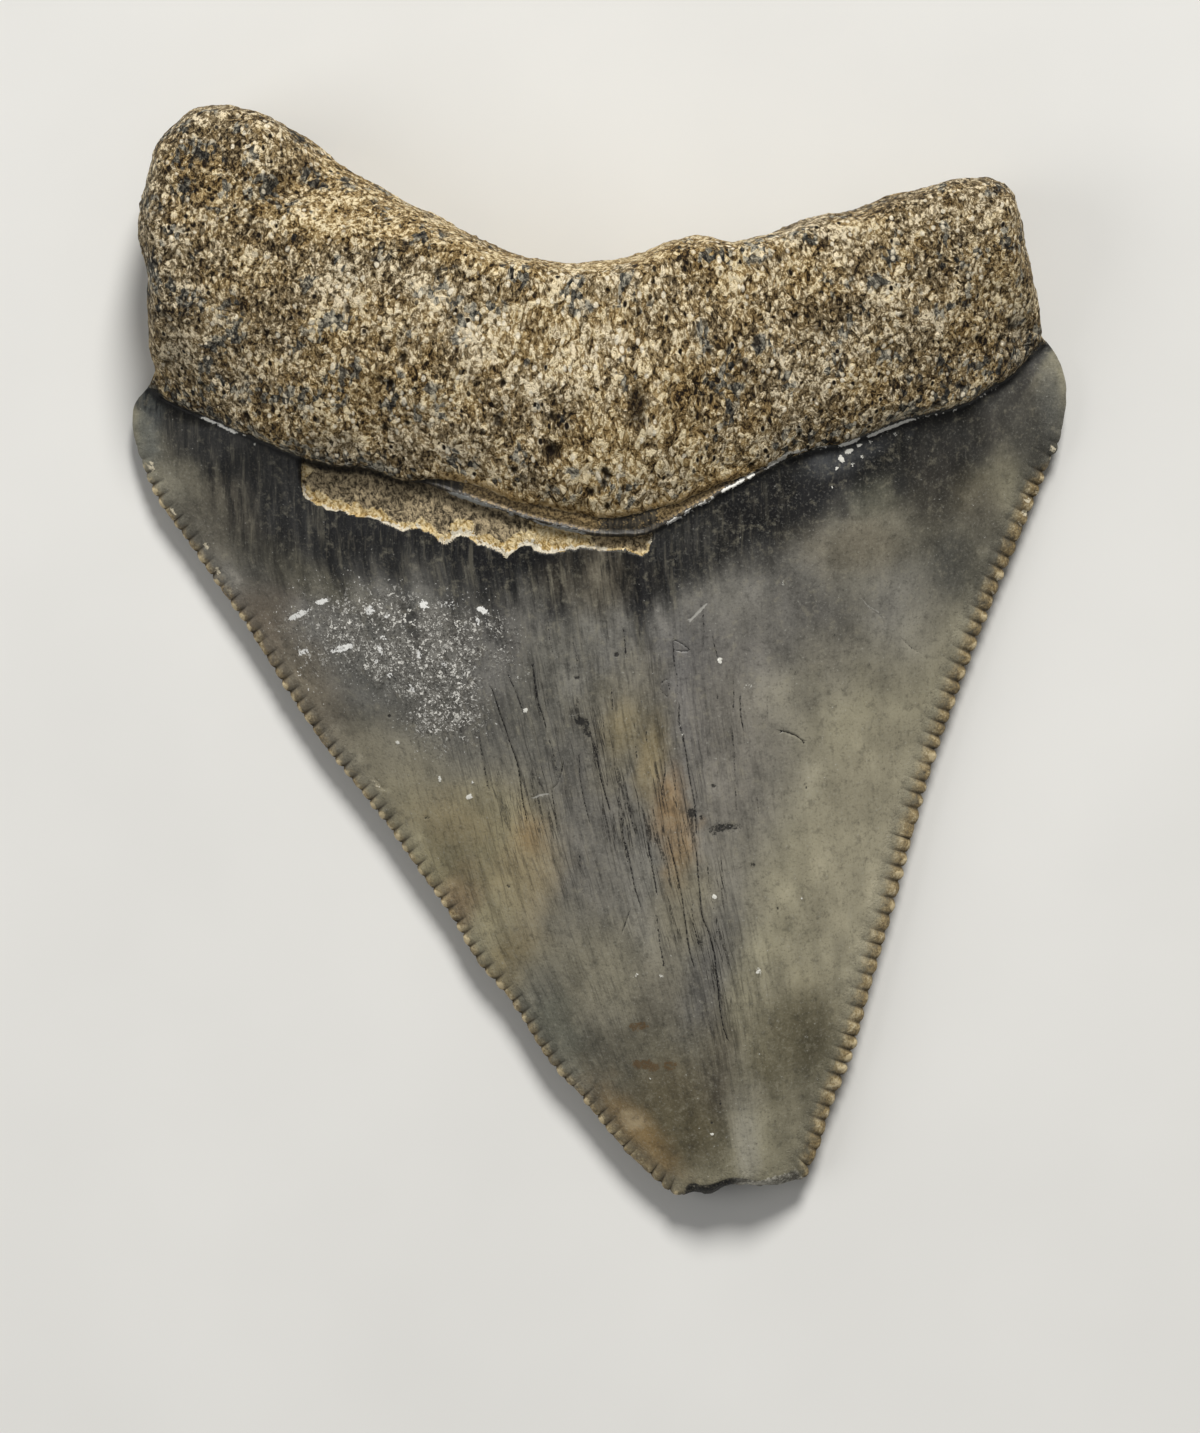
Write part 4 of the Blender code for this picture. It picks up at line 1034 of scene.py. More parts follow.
def enamel_colours(xy, d, fu, fv):
    """The crown's broad colour zones, laid on as soft patches from the back to the front, and its dark band."""
    n = len(xy)
    colour = np.tile(OLIVE, (n, 1)).astype(float)
    p = flat(xy)

    def lay(mask, tone, strength=1.0):
        m = np.clip(mask * strength, 0, 1)[:, None]
        colour[:] = colour * (1 - m) + tone[None, :] * m

    def patch(px, py, a, b, turn, tone, strength=1.0, soft=0.75, wobble=0.35):
        lay(blot(xy, px, py, a, b, turn, soft, wobble, 50), tone, strength)

    px = xy[:, 0] * 20 + 600
    cloud = fbm(p, 4.0, 4, 100)
    streak = fbm(np.column_stack([fu, fv * 0.14, fu * 0]), 1.1, 4, 101)
    patch(360, 640, 13, 8, -25, GREY)
    patch(620, 720, 8, 11, -6, GREY)
    patch(700, 560, 14, 5, 0, GREY, 0.8)
    patch(640, 960, 4.5, 10, -16, GREY, 0.7)
    patch(300, 690, 3.4, 2.2, -50, srgb(104, 92, 70), 0.6)
    patch(390, 765, 3.6, 2.4, -40, srgb(128, 121, 100), 0.7)
    patch(410, 665, 4.4, 3.6, 0, srgb(92, 91, 86), 0.75)
    patch(255, 625, 2.0, 2.6, -40, srgb(90, 79, 64), 0.7)
    patch(545, 690, 3.2, 6.5, -12, srgb(88, 86, 79), 0.85)
    patch(585, 850, 2.9, 7.0, -12, srgb(102, 99, 92), 0.85)
    patch(500, 640, 1.8, 3.6, -10, DIM, 0.5)
    patch(700, 690, 3.2, 5.5, 0, LAVENDER, 0.55)
    patch(730, 765, 3.2, 6.5, -4, srgb(101, 97, 89), 0.75)
    patch(810, 630, 4.0, 3.6, 10, DIM, 0.75)
    patch(905, 620, 2.2, 3.4, -20, ASH, 0.6)
    patch(865, 830, 4.4, 11, -16, srgb(134, 128, 109), 0.75)
    patch(468, 850, 3.4, 4.4, -48, KHAKI, 0.85)
    patch(452, 822, 2.2, 1.4, -20, srgb(116, 104, 78), 0.45)
    patch(528, 875, 1.6, 3.0, -6, srgb(134, 121, 92), 0.75)
    patch(530, 835, 0.8, 1.0, 0, AMBER, 0.45)
    patch(450, 905, 1.4, 2.0, -40, srgb(116, 94, 68), 0.6)
    patch(503, 915, 1.2, 2.6, -30, srgb(124, 115, 88), 0.55)
    patch(516, 960, 1.2, 2.0, -36, OCHRE, 0.6)
    patch(632, 735, 2.0, 3.4, 0, srgb(108, 101, 80), 0.65)
    patch(622, 728, 1.0, 1.2, 0, srgb(118, 106, 76), 0.5)
    patch(642, 792, 1.2, 2.0, 0, srgb(92, 90, 84), 0.6)
    patch(650, 762, 0.8, 2.0, -8, OCHRE, 0.5)
    patch(667, 805, 0.8, 2.0, -6, AMBER, 0.65)
    patch(679, 852, 0.8, 2.0, -10, AMBER, 0.6)
    patch(684, 905, 1.6, 2.6, -12, srgb(104, 98, 80), 0.65)
    patch(590, 975, 4.2, 3.0, -20, srgb(114, 109, 92), 0.8)
    patch(660, 1000, 1.6, 2.6, -10, srgb(88, 84, 74), 0.7)
    patch(542, 990, 1.4, 1.8, -34, srgb(100, 98, 88), 0.75)
    patch(560, 1030, 2.4, 1.2, -52, srgb(88, 90, 80), 0.6)
    patch(706, 985, 1.2, 5.0, -14, srgb(92, 90, 86), 0.8)
    patch(718, 1070, 1.2, 3.2, -6, srgb(80, 74, 66), 0.8)
    patch(650, 1060, 3.6, 2.4, 0, srgb(97, 92, 76), 0.7)
    patch(664, 1078, 1.5, 1.4, 0, srgb(100, 92, 74), 0.6)
    patch(676, 1124, 3.0, 2.4, -32, UMBER, 0.85)
    patch(638, 1130, 3.2, 1.0, -48, srgb(124, 102, 66), 0.8)
    patch(800, 1035, 2.6, 2.8, 10, srgb(88, 82, 63), 0.85)
    patch(760, 1080, 1.4, 1.6, 0, srgb(96, 90, 70), 0.8)
    patch(798, 1120, 1.5, 2.6, 12, srgb(108, 103, 86), 0.7)
    # Painted highlight along the ridge near the tip.
    patch(745, 1105, 0.9, 2.2, 4, TIP_RIDGE_HIGHLIGHT, 0.45)
    patch(746, 1150, 0.65, 2.0, 6, TIP_RIDGE_HIGHLIGHT, 0.75)
    patch(632, 1119, 0.7, 0.55, -20, srgb(158, 142, 112), 0.8, 0.4)
    # The band's ragged lower end is drawn out into streaks.
    depth = -d["he"]
    reach = np.interp(px, [r[0] for r in REACH], [r[1] for r in REACH])
    calm = smooth(640, 730, px)
    ragged = 0.62 + (1.05 - 0.75 * calm) * (streak - 0.25) + 0.55 * calm * (cloud - 0.5)
    shade = 1 - smooth(0.62, 1.22, depth / (reach * ragged))
    # Painted sheen: towards the right shoulder the dark band is mixed with a lighter grey.
    shoulder_sheen = 0.55 * smooth(930, 1040, px)[:, None]
    lay(shade, CHARCOAL, 0.96)
    colour[:] = colour * (1 - shoulder_sheen * shade[:, None] * 0.6) + srgb(98, 98, 95)[None, :] * shoulder_sheen * shade[:, None] * 0.6
    black = (1 - smooth(0.60, 1.05, depth / (0.72 * reach * ragged))) * (0.95 * smooth(285, 330, px) * (1 - smooth(610, 660, px))
                                                                      + 0.55 * smooth(660, 720, px) * (1 - smooth(880, 930, px)) + 0.25)
    lay(black, DEEP, 0.95)
    patch(590, 585, 2.4, 1.6, 0, srgb(84, 78, 66), 0.7)
    patch(604, 572, 1.0, 1.0, 0, srgb(98, 92, 80), 0.5)
    patch(557, 612, 1.0, 0.8, 0, srgb(38, 38, 40), 0.6)
    patch(642, 595, 0.55, 2.4, 0, srgb(30, 30, 32), 0.85, 0.6)
    patch(300, 575, 4.4, 0.9, -24, srgb(92, 88, 72), 0.55)
    patch(172, 440, 1.5, 1.7, 0, srgb(52, 50, 45), 0.7)
    patch(225, 505, 2.8, 1.3, -46, srgb(82, 77, 66), 0.75)
    patch(205, 530, 2.4, 0.9, -50, srgb(84, 79, 69), 0.6)
    patch(258, 562, 1.8, 1.2, -40, srgb(66, 64, 58), 0.6)
    # Painted sheen: a bluish grey on the left shoulder.
    patch(148, 410, 0.8, 1.8, 0, LEFT_SHOULDER_SHEEN, 0.65)
    patch(146, 445, 0.7, 1.0, 0, LEFT_SHOULDER_SHEEN, 0.5)
    patch(855, 545, 2.6, 1.6, 8, srgb(102, 96, 82), 0.8)
    patch(870, 500, 1.8, 1.0, 20, MOSS, 0.45)
    patch(820, 500, 1.8, 1.2, 20, srgb(40, 40, 42), 0.6)
    patch(705, 540, 1.6, 1.0, 10, srgb(58, 57, 54), 0.6)
    patch(935, 500, 2.2, 2.6, -20, srgb(54, 51, 46), 0.8)
    patch(950, 565, 1.2, 1.2, 0, srgb(52, 52, 52), 0.5)
    patch(840, 514, 0.35, 0.6, 0, srgb(36, 36, 38), 0.7)
    patch(898, 487, 0.5, 0.7, 20, srgb(40, 40, 42), 0.6)
    patch(1030, 410, 1.6, 2.6, 6, srgb(68, 65, 60), 0.85)
    patch(1000, 435, 1.6, 2.0, 0, srgb(70, 67, 61), 0.7)
    patch(1036, 450, 1.7, 3.6, 8, srgb(56, 55, 51), 0.85)
    patch(1052, 400, 0.8, 2.0, 0, srgb(74, 74, 70), 0.7)
    patch(950, 567, 1.7, 2.2, 0, srgb(54, 54, 51), 0.65)
    patch(1002, 570, 1.3, 2.6, 12, srgb(76, 74, 66), 0.5)
    patch(976, 500, 1.2, 1.3, 0, srgb(98, 91, 74), 0.5)
    patch(985, 520, 1.4, 1.8, 10, srgb(66, 63, 57), 0.6)
    # Painted highlight: a light bluish haze where the edge glints brightest.
    patch(845, 455, 2.4, 0.8, 22, srgb(96, 98, 100), 0.45)
    # Underside: plainer, the same family of greys and olives.
    low = d["side"] < 0
    if low.any():
        q = p[low] + 40.0
        c1 = fbm(q, 7.0, 4, 120)[:, None]
        c2 = fbm(q, 2.6, 4, 121)[:, None]
        under = OLIVE * c1 + LAVENDER * (1 - c1)
        under = under * (0.8 + 0.35 * c2)
        dark = smooth(-7, -0.5, d["he"][low] + 2.5 * (c2[:, 0] - 0.5))[:, None]
        colour[low] = under * (1 - 0.7 * dark) + CHARCOAL * 0.7 * dark
    blotch = fbm(p, 1.5, 4, 102)
    smudge = fbm(np.column_stack([fu, fv * 0.6, fu * 0]), 0.8, 3, 103)
    tone = (0.76 + 0.48 * cloud) * (0.70 + 0.60 * blotch) * (1.0 + (0.40 * streak - 0.20) * np.where(np.abs(fu) < 9, 1.0, 0.45)) * (1 + 1.1 * (smudge - 0.5) * (0.35 + 0.65 * shade))
    light = 1.01 + 0.31 * (1 - shade) * smooth(at(0, 1040)[1], at(0, 960)[1], xy[:, 1]) + 0.12 * (1 - shade)
    for qx, qy, a, b, turn, k in TONE_SPOTS:
        tone = tone * (1 + (k - 1) * blot(xy, qx, qy, a, b, turn, 0.9, 0.3, 60) * (d["side"] >= 0))
    return colour * (tone * light)[:, None], shade


def root_zones(xy, p, d):
    """Where the root is warmer, bluer, speckled with cream, or darker."""
    x, y = xy[:, 0], xy[:, 1]
    cloud = fbm(p, 3.2, 4, 130)
    patch = fbm(p, 1.2, 3, 131)
    warm = 0.44 + 0.10 * smooth(-16, 0, x) - 0.12 * smooth(3, 12, x) + 1.3 * (cloud - 0.5)
    ridge = np.interp(x, [at(260, 0)[0], at(342, 0)[0], at(451, 0)[0], at(546, 0)[0], at(600, 0)[0], at(660, 0)[0], at(720, 0)[0]],
                      [at(0, 216)[1], at(0, 239)[1], at(0, 259)[1], at(0, 278)[1], at(0, 284)[1], at(0, 272)[1], at(0, 252)[1]])
    top_strip = smooth(-0.15, 0.35, y - ridge) * smooth(at(300, 0)[0], at(360, 0)[0], x) * (1 - smooth(at(700, 0)[0], at(760, 0)[0], x))
    warm += 0.75 * top_strip * smooth(0.25, 0.5, patch)
    line = np.exp(-((d["hr"] - 0.22) / 0.22) ** 2) * smooth(at(430, 0)[0], at(480, 0)[0], x) * (1 - smooth(at(740, 0)[0], at(790, 0)[0], x))
    warm += 0.6 * line
    side = smooth(2.0, 0.5, d["t"] * 1.0) * (d["station"] >= 0)
    blue = 0.03 + 0.50 * smooth(0.54, 0.74, fbm(p, 1.3, 4, 132))
    blue = np.maximum(blue, 0.8 * blot(xy, 267, 199, 0.95, 0.75, 15, 0.5, 0.6, 9))
    for px, py, a, b in ((265, 200, 1.0, 0.8), (205, 160, 1.5, 1.1), (190, 195, 1.0, 0.8), (243, 136, 0.6, 0.4),
                         (158, 275, 0.7, 1.2), (190, 305, 1.3, 1.0), (352, 190, 0.7, 0.5), (300, 247, 0.5, 0.4), (345, 270, 0.5, 0.5),
                         (430, 300, 0.9, 0.7), (575, 300, 0.6, 0.5), (230, 345, 1.5, 0.9), (340, 330, 1.2, 0.8), (300, 400, 2.4, 0.8),
                         (520, 460, 0.8, 0.6), (610, 485, 1.0, 0.8), (575, 475, 0.8, 0.5), (870, 290, 0.8, 0.6), (960, 270, 0.7, 0.6),
                         (452, 460, 0.9, 0.7), (760, 350, 1.0, 0.6), (880, 360, 1.2, 0.6), (350, 380, 1.5, 0.9)):
        blue = np.maximum(blue, 0.75 * blot(xy, px, py, 0.72 * a, 0.72 * b, 0, 0.8, 0.6, 9))
    rim_left = np.exp(-(d["hr"] / 0.7) ** 2) * smooth(at(460, 0)[0], at(380, 0)[0], x)
    blue = np.maximum(blue, 0.55 * rim_left)
    right_rim = np.exp(-((d["hr"] - 0.4) / 0.7) ** 2) * smooth(at(740, 0)[0], at(800, 0)[0], x)
    blue = np.maximum(blue, 0.45 * right_rim)
    cream = 0.30 + 0.9 * (fbm(p, 2.4, 3, 133) - 0.5)
    for px, py, a, b in ((735, 285, 1.0, 0.8), (440, 300, 1.6, 1.6), (258, 165, 1.4, 1.2), (180, 245, 1.1, 0.9), (185, 355, 1.3, 1.4), (300, 232, 1.6, 0.9), (430, 400, 2.6, 1.4), (600, 472, 2.2, 1.0), (620, 350, 1.8, 1.2), (552, 305, 2.2, 1.4), (350, 308, 1.4, 1.2), (962, 236, 1.0, 1.0), (520, 290, 1.6, 1.0), (360, 280, 1.2, 0.8), (930, 230, 1.6, 1.2),
                         (900, 300, 2.0, 1.4), (480, 340, 2.0, 1.4), (650, 440, 1.6, 1.2), (350, 460, 1.4, 0.6), (560, 380, 2.4, 1.4),
                         (850, 240, 1.8, 0.9), (940, 330, 1.4, 1.0)):
        cream = np.maximum(cream, 0.85 * blot(xy, px, py, a, b, 0, 0.9, 0.5, 10))
    dark = 0.35 * smooth(0.55, 0.75, fbm(p, 2.0, 3, 134))
    lobe = 1 - smooth(at(220, 0)[0], at(480, 0)[0], x)
    dark = np.maximum(dark, lobe * (0.20 + 0.30 * smooth(0.35, 0.65, fbm(p, 2.6, 3, 135))))
    over = basal(xy)
    crack = np.exp(-(over / 0.09) ** 2) * (1 - smooth(at(470, 0)[0], at(560, 0)[0], x))
    dark = np.maximum(dark, crack * smooth(0.35, 0.55, noise(p, 0.8, 136)))
    warm += 0.5 * np.exp(-((over + 0.25) / 0.35) ** 2) * (1 - smooth(at(520, 0)[0], at(600, 0)[0], x))
    dark = np.maximum(dark, 0.20 * smooth(at(700, 0)[0], at(760, 0)[0], x))
    for px, py, a, b in ((700, 305, 1.5, 1.1), (800, 250, 1.5, 0.9), (905, 352, 1.8, 1.1), (702, 400, 1.6, 1.5),
                         (800, 350, 1.3, 1.0), (985, 325, 0.8, 1.4)):
        dark = np.maximum(dark, 0.42 * blot(xy, px, py, a, b, 0, 0.9, 0.5, 12))
    # Painted shade: the two hollows of the root face are darkened.
    dark = np.maximum(dark, 0.9 * blot(xy, 637, 411, 0.55, 1.5, 0, 0.8, 0.4, 1))
    dark = np.maximum(dark, 0.8 * blot(xy, 553, 456, 0.5, 0.5, 0, 0.8, 0.4, 1))
    dark = np.maximum(dark, 0.5 * smooth(at(170, 0)[0], at(150, 0)[0], x) * smooth(at(0, 380)[1], at(0, 300)[1], y))
    return np.clip(warm, 0, 1), np.clip(blue, 0, 1), np.clip(cream, 0, 1), np.clip(dark, 0, 1)


def add_uv(mesh, xy, p, d, ring, width):
    """A flat map for baking: the rims are folded out round each face, and the two faces lie head to tail."""
    n = len(xy)
    uv = xy.copy()
    rim = d["station"] >= 0
    j = d["station"]
    inner = ring["xy"] - ring["wide"] * width[:, None]
    for upper in (True, False):
        pick = np.where(rim & ((d["side"] > 0) if upper else (d["side"] < 0)))[0]
        # Length over the surface from the inner ring, column by column.
        order = pick[np.lexsort((-d["t"][pick], j[pick]))]
        run, last = 0.0, -1
        out = np.zeros(n)
        for i in order:
            if j[i] != last:
                run, last, prev = 0.0, j[i], i
            else:
                run += float(np.linalg.norm(p[i] - p[prev]))
                prev = i
            out[i] = run
        uv[pick] = inner[j[pick]] + ring["wide"][j[pick]] * out[pick][:, None]
        if upper:
            uv_up = uv.copy()
            first = {}
            for i in order:
                first[j[i]] = (i, out[i])
            for jj, (i, r) in first.items():
                uv_up[jj] = inner[jj] + ring["wide"][jj] * (r + float(np.linalg.norm(p[jj] - p[i])))
        else:
            uv_low = uv.copy()
            first = {}
            for i in order:
                first[j[i]] = (i, out[i])
            for jj, (i, r) in first.items():
                uv_low[jj] = inner[jj] + ring["wide"][jj] * (r + float(np.linalg.norm(p[jj] - p[i])))
    uv_up[d["side"] < 0] = 0
    low = uv_low.copy()
    low = -low + np.array([-40.0, 0.0])
    m = len(mesh.polygons)
    loops = np.empty(len(mesh.loops), int)
    mesh.loops.foreach_get("vertex_index", loops)
    tri = loops.reshape(-1, 3)
    is_low = (d["side"][tri] < 0).any(1)
    coords = np.where(is_low[:, None, None], low[tri], uv_up[tri]).reshape(-1, 2)
    lo, hi = coords.min(0), coords.max(0)
    coords = (coords - lo) / (hi - lo) * 0.984 + 0.008
    layer = mesh.uv_layers.new(name="OFBake")
    layer.data.foreach_set("uv", coords.astype(np.float32).ravel())
    print("bake map spans mm", hi - lo, "faces low", int(is_low.sum()), "of", m)


# =============================================================== materials
class Nodes:
    """A short way to write a node tree."""

    def __init__(self, material):
        material.use_nodes = True
        self.tree = material.node_tree
        self.tree.nodes.clear()

    def add(self, kind, inputs=None, **props):
        node = self.tree.nodes.new(kind)
        for key, value in props.items():
            setattr(node, key, value)
        for key, value in (inputs or {}).items():
            self.set(node, key, value)
        return node

    def set(self, node, key, value):
        socket = node.inputs[key]
        if isinstance(value, bpy.types.NodeSocket):
            self.tree.links.new(value, socket)
        elif isinstance(value, (tuple, list, np.ndarray)):
            value = tuple(float(v) for v in value)
            socket.default_value = value + (1.0,) if len(socket.default_value) == 4 and len(value) == 3 else value
        else:
            socket.default_value = value

    def attr(self, name, out="Fac"):
        return self.add("ShaderNodeAttribute", attribute_name=name).outputs[out]

    def math(self, op, a, b=0.0, c=None, clamp=False):
        node = self.add("ShaderNodeMath", operation=op, use_clamp=clamp)
        self.set(node, 0, a)
        self.set(node, 1, b)
        if c is not None:
            self.set(node, 2, c)
        return node.outputs[0]

    def mul(self, a, b, clamp=False):
        return self.math("MULTIPLY", a, b, clamp=clamp)

    def plus(self, a, b, clamp=False):
        return self.math("ADD", a, b, clamp=clamp)

    def step(self, x, lo, hi, out_lo=0.0, out_hi=1.0):
        node = self.add("ShaderNodeMapRange", interpolation_type="SMOOTHSTEP")
        for key, value in (("Value", x), ("From Min", lo), ("From Max", hi), ("To Min", out_lo), ("To Max", out_hi)):
            self.set(node, key, value)
        return node.outputs[0]

    def mix(self, fac, a, b, blend="MIX"):
        node = self.add("ShaderNodeMix", data_type="RGBA", blend_type=blend, clamp_factor=True)
        self.set(node, 0, fac)
        self.set(node, 6, a)
        self.set(node, 7, b)
        return node.outputs[2]

    def mixf(self, fac, a, b):
        node = self.add("ShaderNodeMix", data_type="FLOAT", clamp_factor=True)
        self.set(node, 0, fac)
        self.set(node, 2, a)
        self.set(node, 3, b)
        return node.outputs[0]

    def noise(self, vector, scale, detail=4.0, rough=0.55, distort=0.0, out=0):
        node = self.add("ShaderNodeTexNoise", {"Vector": vector, "Scale": scale, "Detail": detail,
                                               "Roughness": rough, "Distortion": distort})
        return node.outputs[out]

    def voronoi(self, vector, scale, feature="F1", out="Distance", rand=1.0):
        node = self.add("ShaderNodeTexVoronoi", {"Vector": vector, "Scale": scale, "Randomness": rand}, feature=feature)
        return node.outputs[out]

    def mapping(self, vector, scale=(1, 1, 1), rotation=(0, 0, 0), location=(0, 0, 0)):
        return self.add("ShaderNodeMapping", {"Vector": vector, "Scale": scale, "Rotation": rotation,
                                              "Location": location}).outputs[0]

    def ramp(self, fac, stops, mode="LINEAR"):
        node = self.add("ShaderNodeValToRGB")
        node.color_ramp.interpolation = mode
        e = node.color_ramp.elements
        while len(e) < len(stops):
            e.new(0.5)
        for item, (pos, colour) in zip(e, stops):
            item.position = pos
            item.color = (*[float(v) for v in colour], 1.0)
        self.set(node, 0, fac)
        return node.outputs[0]


def base(name):
    mat = bpy.data.materials.new(name)
    g = Nodes(mat)
    obj = g.add("ShaderNodeTexCoord").outputs["Object"]
    return mat, g, g.mapping(obj, scale=(1000, 1000, 1000))     # millimetres


def finish_off(g, colour, rough, height, shine):
    bump_node = g.add("ShaderNodeBump", {"Strength": 1.0, "Distance": 0.001, "Height": height})
    shader = g.add("ShaderNodeBsdfPrincipled", {"Base Color": colour, "Roughness": rough, "Normal": bump_node.outputs[0]})
    shader.inputs["IOR"].default_value = 1.5
    shader.inputs["Specular IOR Level"].default_value = shine
    out = g.add("ShaderNodeOutputMaterial")
    g.tree.links.new(shader.outputs[0], out.inputs[0])


def root_material():
    """Porous, granular root bone, and the rough dentine strip where enamel has broken off."""
    mat, g, mm = base("root_stone")
    cellpos = g.attr("cellpos", "Vector")
    grain, pits, warm, blue = g.attr("grain"), g.attr("pits"), g.attr("warm"), g.attr("blue")
    cream, shade, strip, stripwarm = g.attr("cream"), g.attr("shade"), g.attr("strip"), g.attr("stripwarm")
    rag, crest, line_dark, warm_line = g.attr("rag"), g.attr("crest"), g.attr("line_dark"), g.attr("warm_line")

    fine = g.noise(cellpos, 5.6, 3.0, 0.76, distort=0.5)
    worm = g.math("SUBTRACT", fine, 0.5)
    chips = g.add("ShaderNodeTexVoronoi", {"Vector": cellpos, "Scale": 3.9, "Randomness": 1.0}, feature="F1")
    dist = chips.outputs["Distance"]
    sep = g.add("ShaderNodeSeparateColor", {0: chips.outputs["Color"]})
    r1, r2, r3 = sep.outputs[0], sep.outputs[1], sep.outputs[2]
    tone = g.plus(g.mul(r1, 0.62), g.mul(worm, 3.0))
    tone = g.plus(tone, g.mul(g.plus(g.attr("cluster"), -0.5), 0.44))
    tone = g.plus(tone, g.mul(g.plus(grain, -0.5), 0.30))
    tone = g.plus(tone, g.mul(g.plus(cream, -0.4), 0.30))
    tone = g.plus(tone, g.mul(shade, -0.32))
    tone = g.plus(tone, 0.372)
    tone = g.math("SUBTRACT", tone, g.mul(g.step(dist, 0.50, 0.95), 0.16))
    grey_ramp = g.ramp(tone, [(0.02, srgb(20, 13, 6)), (0.20, srgb(54, 42, 24)), (0.38, srgb(97, 82, 57)),
                              (0.60, srgb(132, 115, 85)), (0.82, srgb(170, 153, 121)), (1.00, srgb(236, 220, 188))])
    warm_ramp = g.ramp(tone, [(0.02, srgb(22, 13, 5)), (0.20, srgb(66, 49, 25)), (0.38, srgb(117, 94, 57)),
                              (0.60, srgb(153, 128, 84)), (0.82, srgb(188, 164, 118)), (1.00, srgb(240, 222, 182))])
    warm_fac = g.step(g.plus(warm, g.mul(g.plus(r2, -0.5), 0.6)), 0.15, 0.90)
    colour = g.mix(warm_fac, grey_ramp, warm_ramp)
    blue_fac = g.mul(g.step(g.plus(blue, g.mul(g.plus(r3, -0.5), 0.85)), 0.34, 0.66), 0.85)
    blue_col = g.ramp(tone, [(0.05, srgb(20, 21, 22)), (0.45, srgb(58, 61, 60)), (0.75, srgb(98, 99, 93)), (0.95, srgb(156, 152, 138))])
    colour = g.mix(blue_fac, colour, blue_col)
    # Painted highlight: white glints on some of the grains.
    painted_grain_glint = g.step(g.plus(r2, g.mul(cream, 0.30)), 1.00, 1.08)
    colour = g.mix(g.mul(painted_grain_glint, g.step(dist, 0.55, 0.30)), colour, srgb(244, 232, 206))
    # Painted shade: the pits, the hollows and the pores are filled dark.
    pit_shade = g.math("MAXIMUM", g.mul(pits, 0.92), g.mul(g.step(r3, 0.07, 0.03), g.step(dist, 0.55, 0.30)))
    pit_shade = g.math("MAXIMUM", pit_shade, g.mul(shade, g.step(worm, 0.02, -0.10)))
    colour = g.mix(pit_shade, colour, srgb(27, 19, 11))
    colour = g.mix(g.mul(warm_line, 0.75), colour, g.mix(g.step(tone, 0.2, 0.7), srgb(92, 70, 38), srgb(190, 158, 104)))

    stone = g.plus(g.mul(worm, 2.0), g.mul(g.plus(grain, -0.5), 0.5))
    strip_dark = g.ramp(g.plus(stone, 0.5), [(0.15, srgb(30, 27, 23)), (0.46, srgb(98, 87, 68)), (0.80, srgb(196, 177, 142))])
    strip_ochre = g.ramp(g.plus(stone, 0.5), [(0.15, srgb(78, 56, 28)), (0.46, srgb(188, 158, 100)), (0.78, srgb(244, 224, 178))])
    strip_col = g.mix(g.step(g.plus(stripwarm, g.mul(worm, 1.4)), 0.28, 0.52), strip_dark, strip_ochre)
    strip_col = g.mix(g.step(g.plus(rag, g.mul(worm, 2.6)), 0.58, 0.76), strip_col, srgb(232, 224, 204))
    colour = g.mix(strip, colour, strip_col)
    # Painted shadow under the root's lower edge, then the painted highlight along the enamel edge.
    colour = g.mix(g.mul(line_dark, 0.93), colour, srgb(15, 14, 13))
    colour = g.mix(g.mul(g.step(g.plus(crest, g.mul(worm, 1.6)), 0.34, 0.60), 0.92), colour,
                   g.mix(g.attr("cool"), srgb(224, 221, 210), srgb(158, 158, 152)))

    rough = g.plus(g.mul(fine, 0.30), 0.55)
    height = g.plus(g.mul(worm, 0.26), g.mul(g.step(dist, 0.75, 0.15), 0.03))
    finish_off(g, colour, rough, height, 0.14)
    return mat


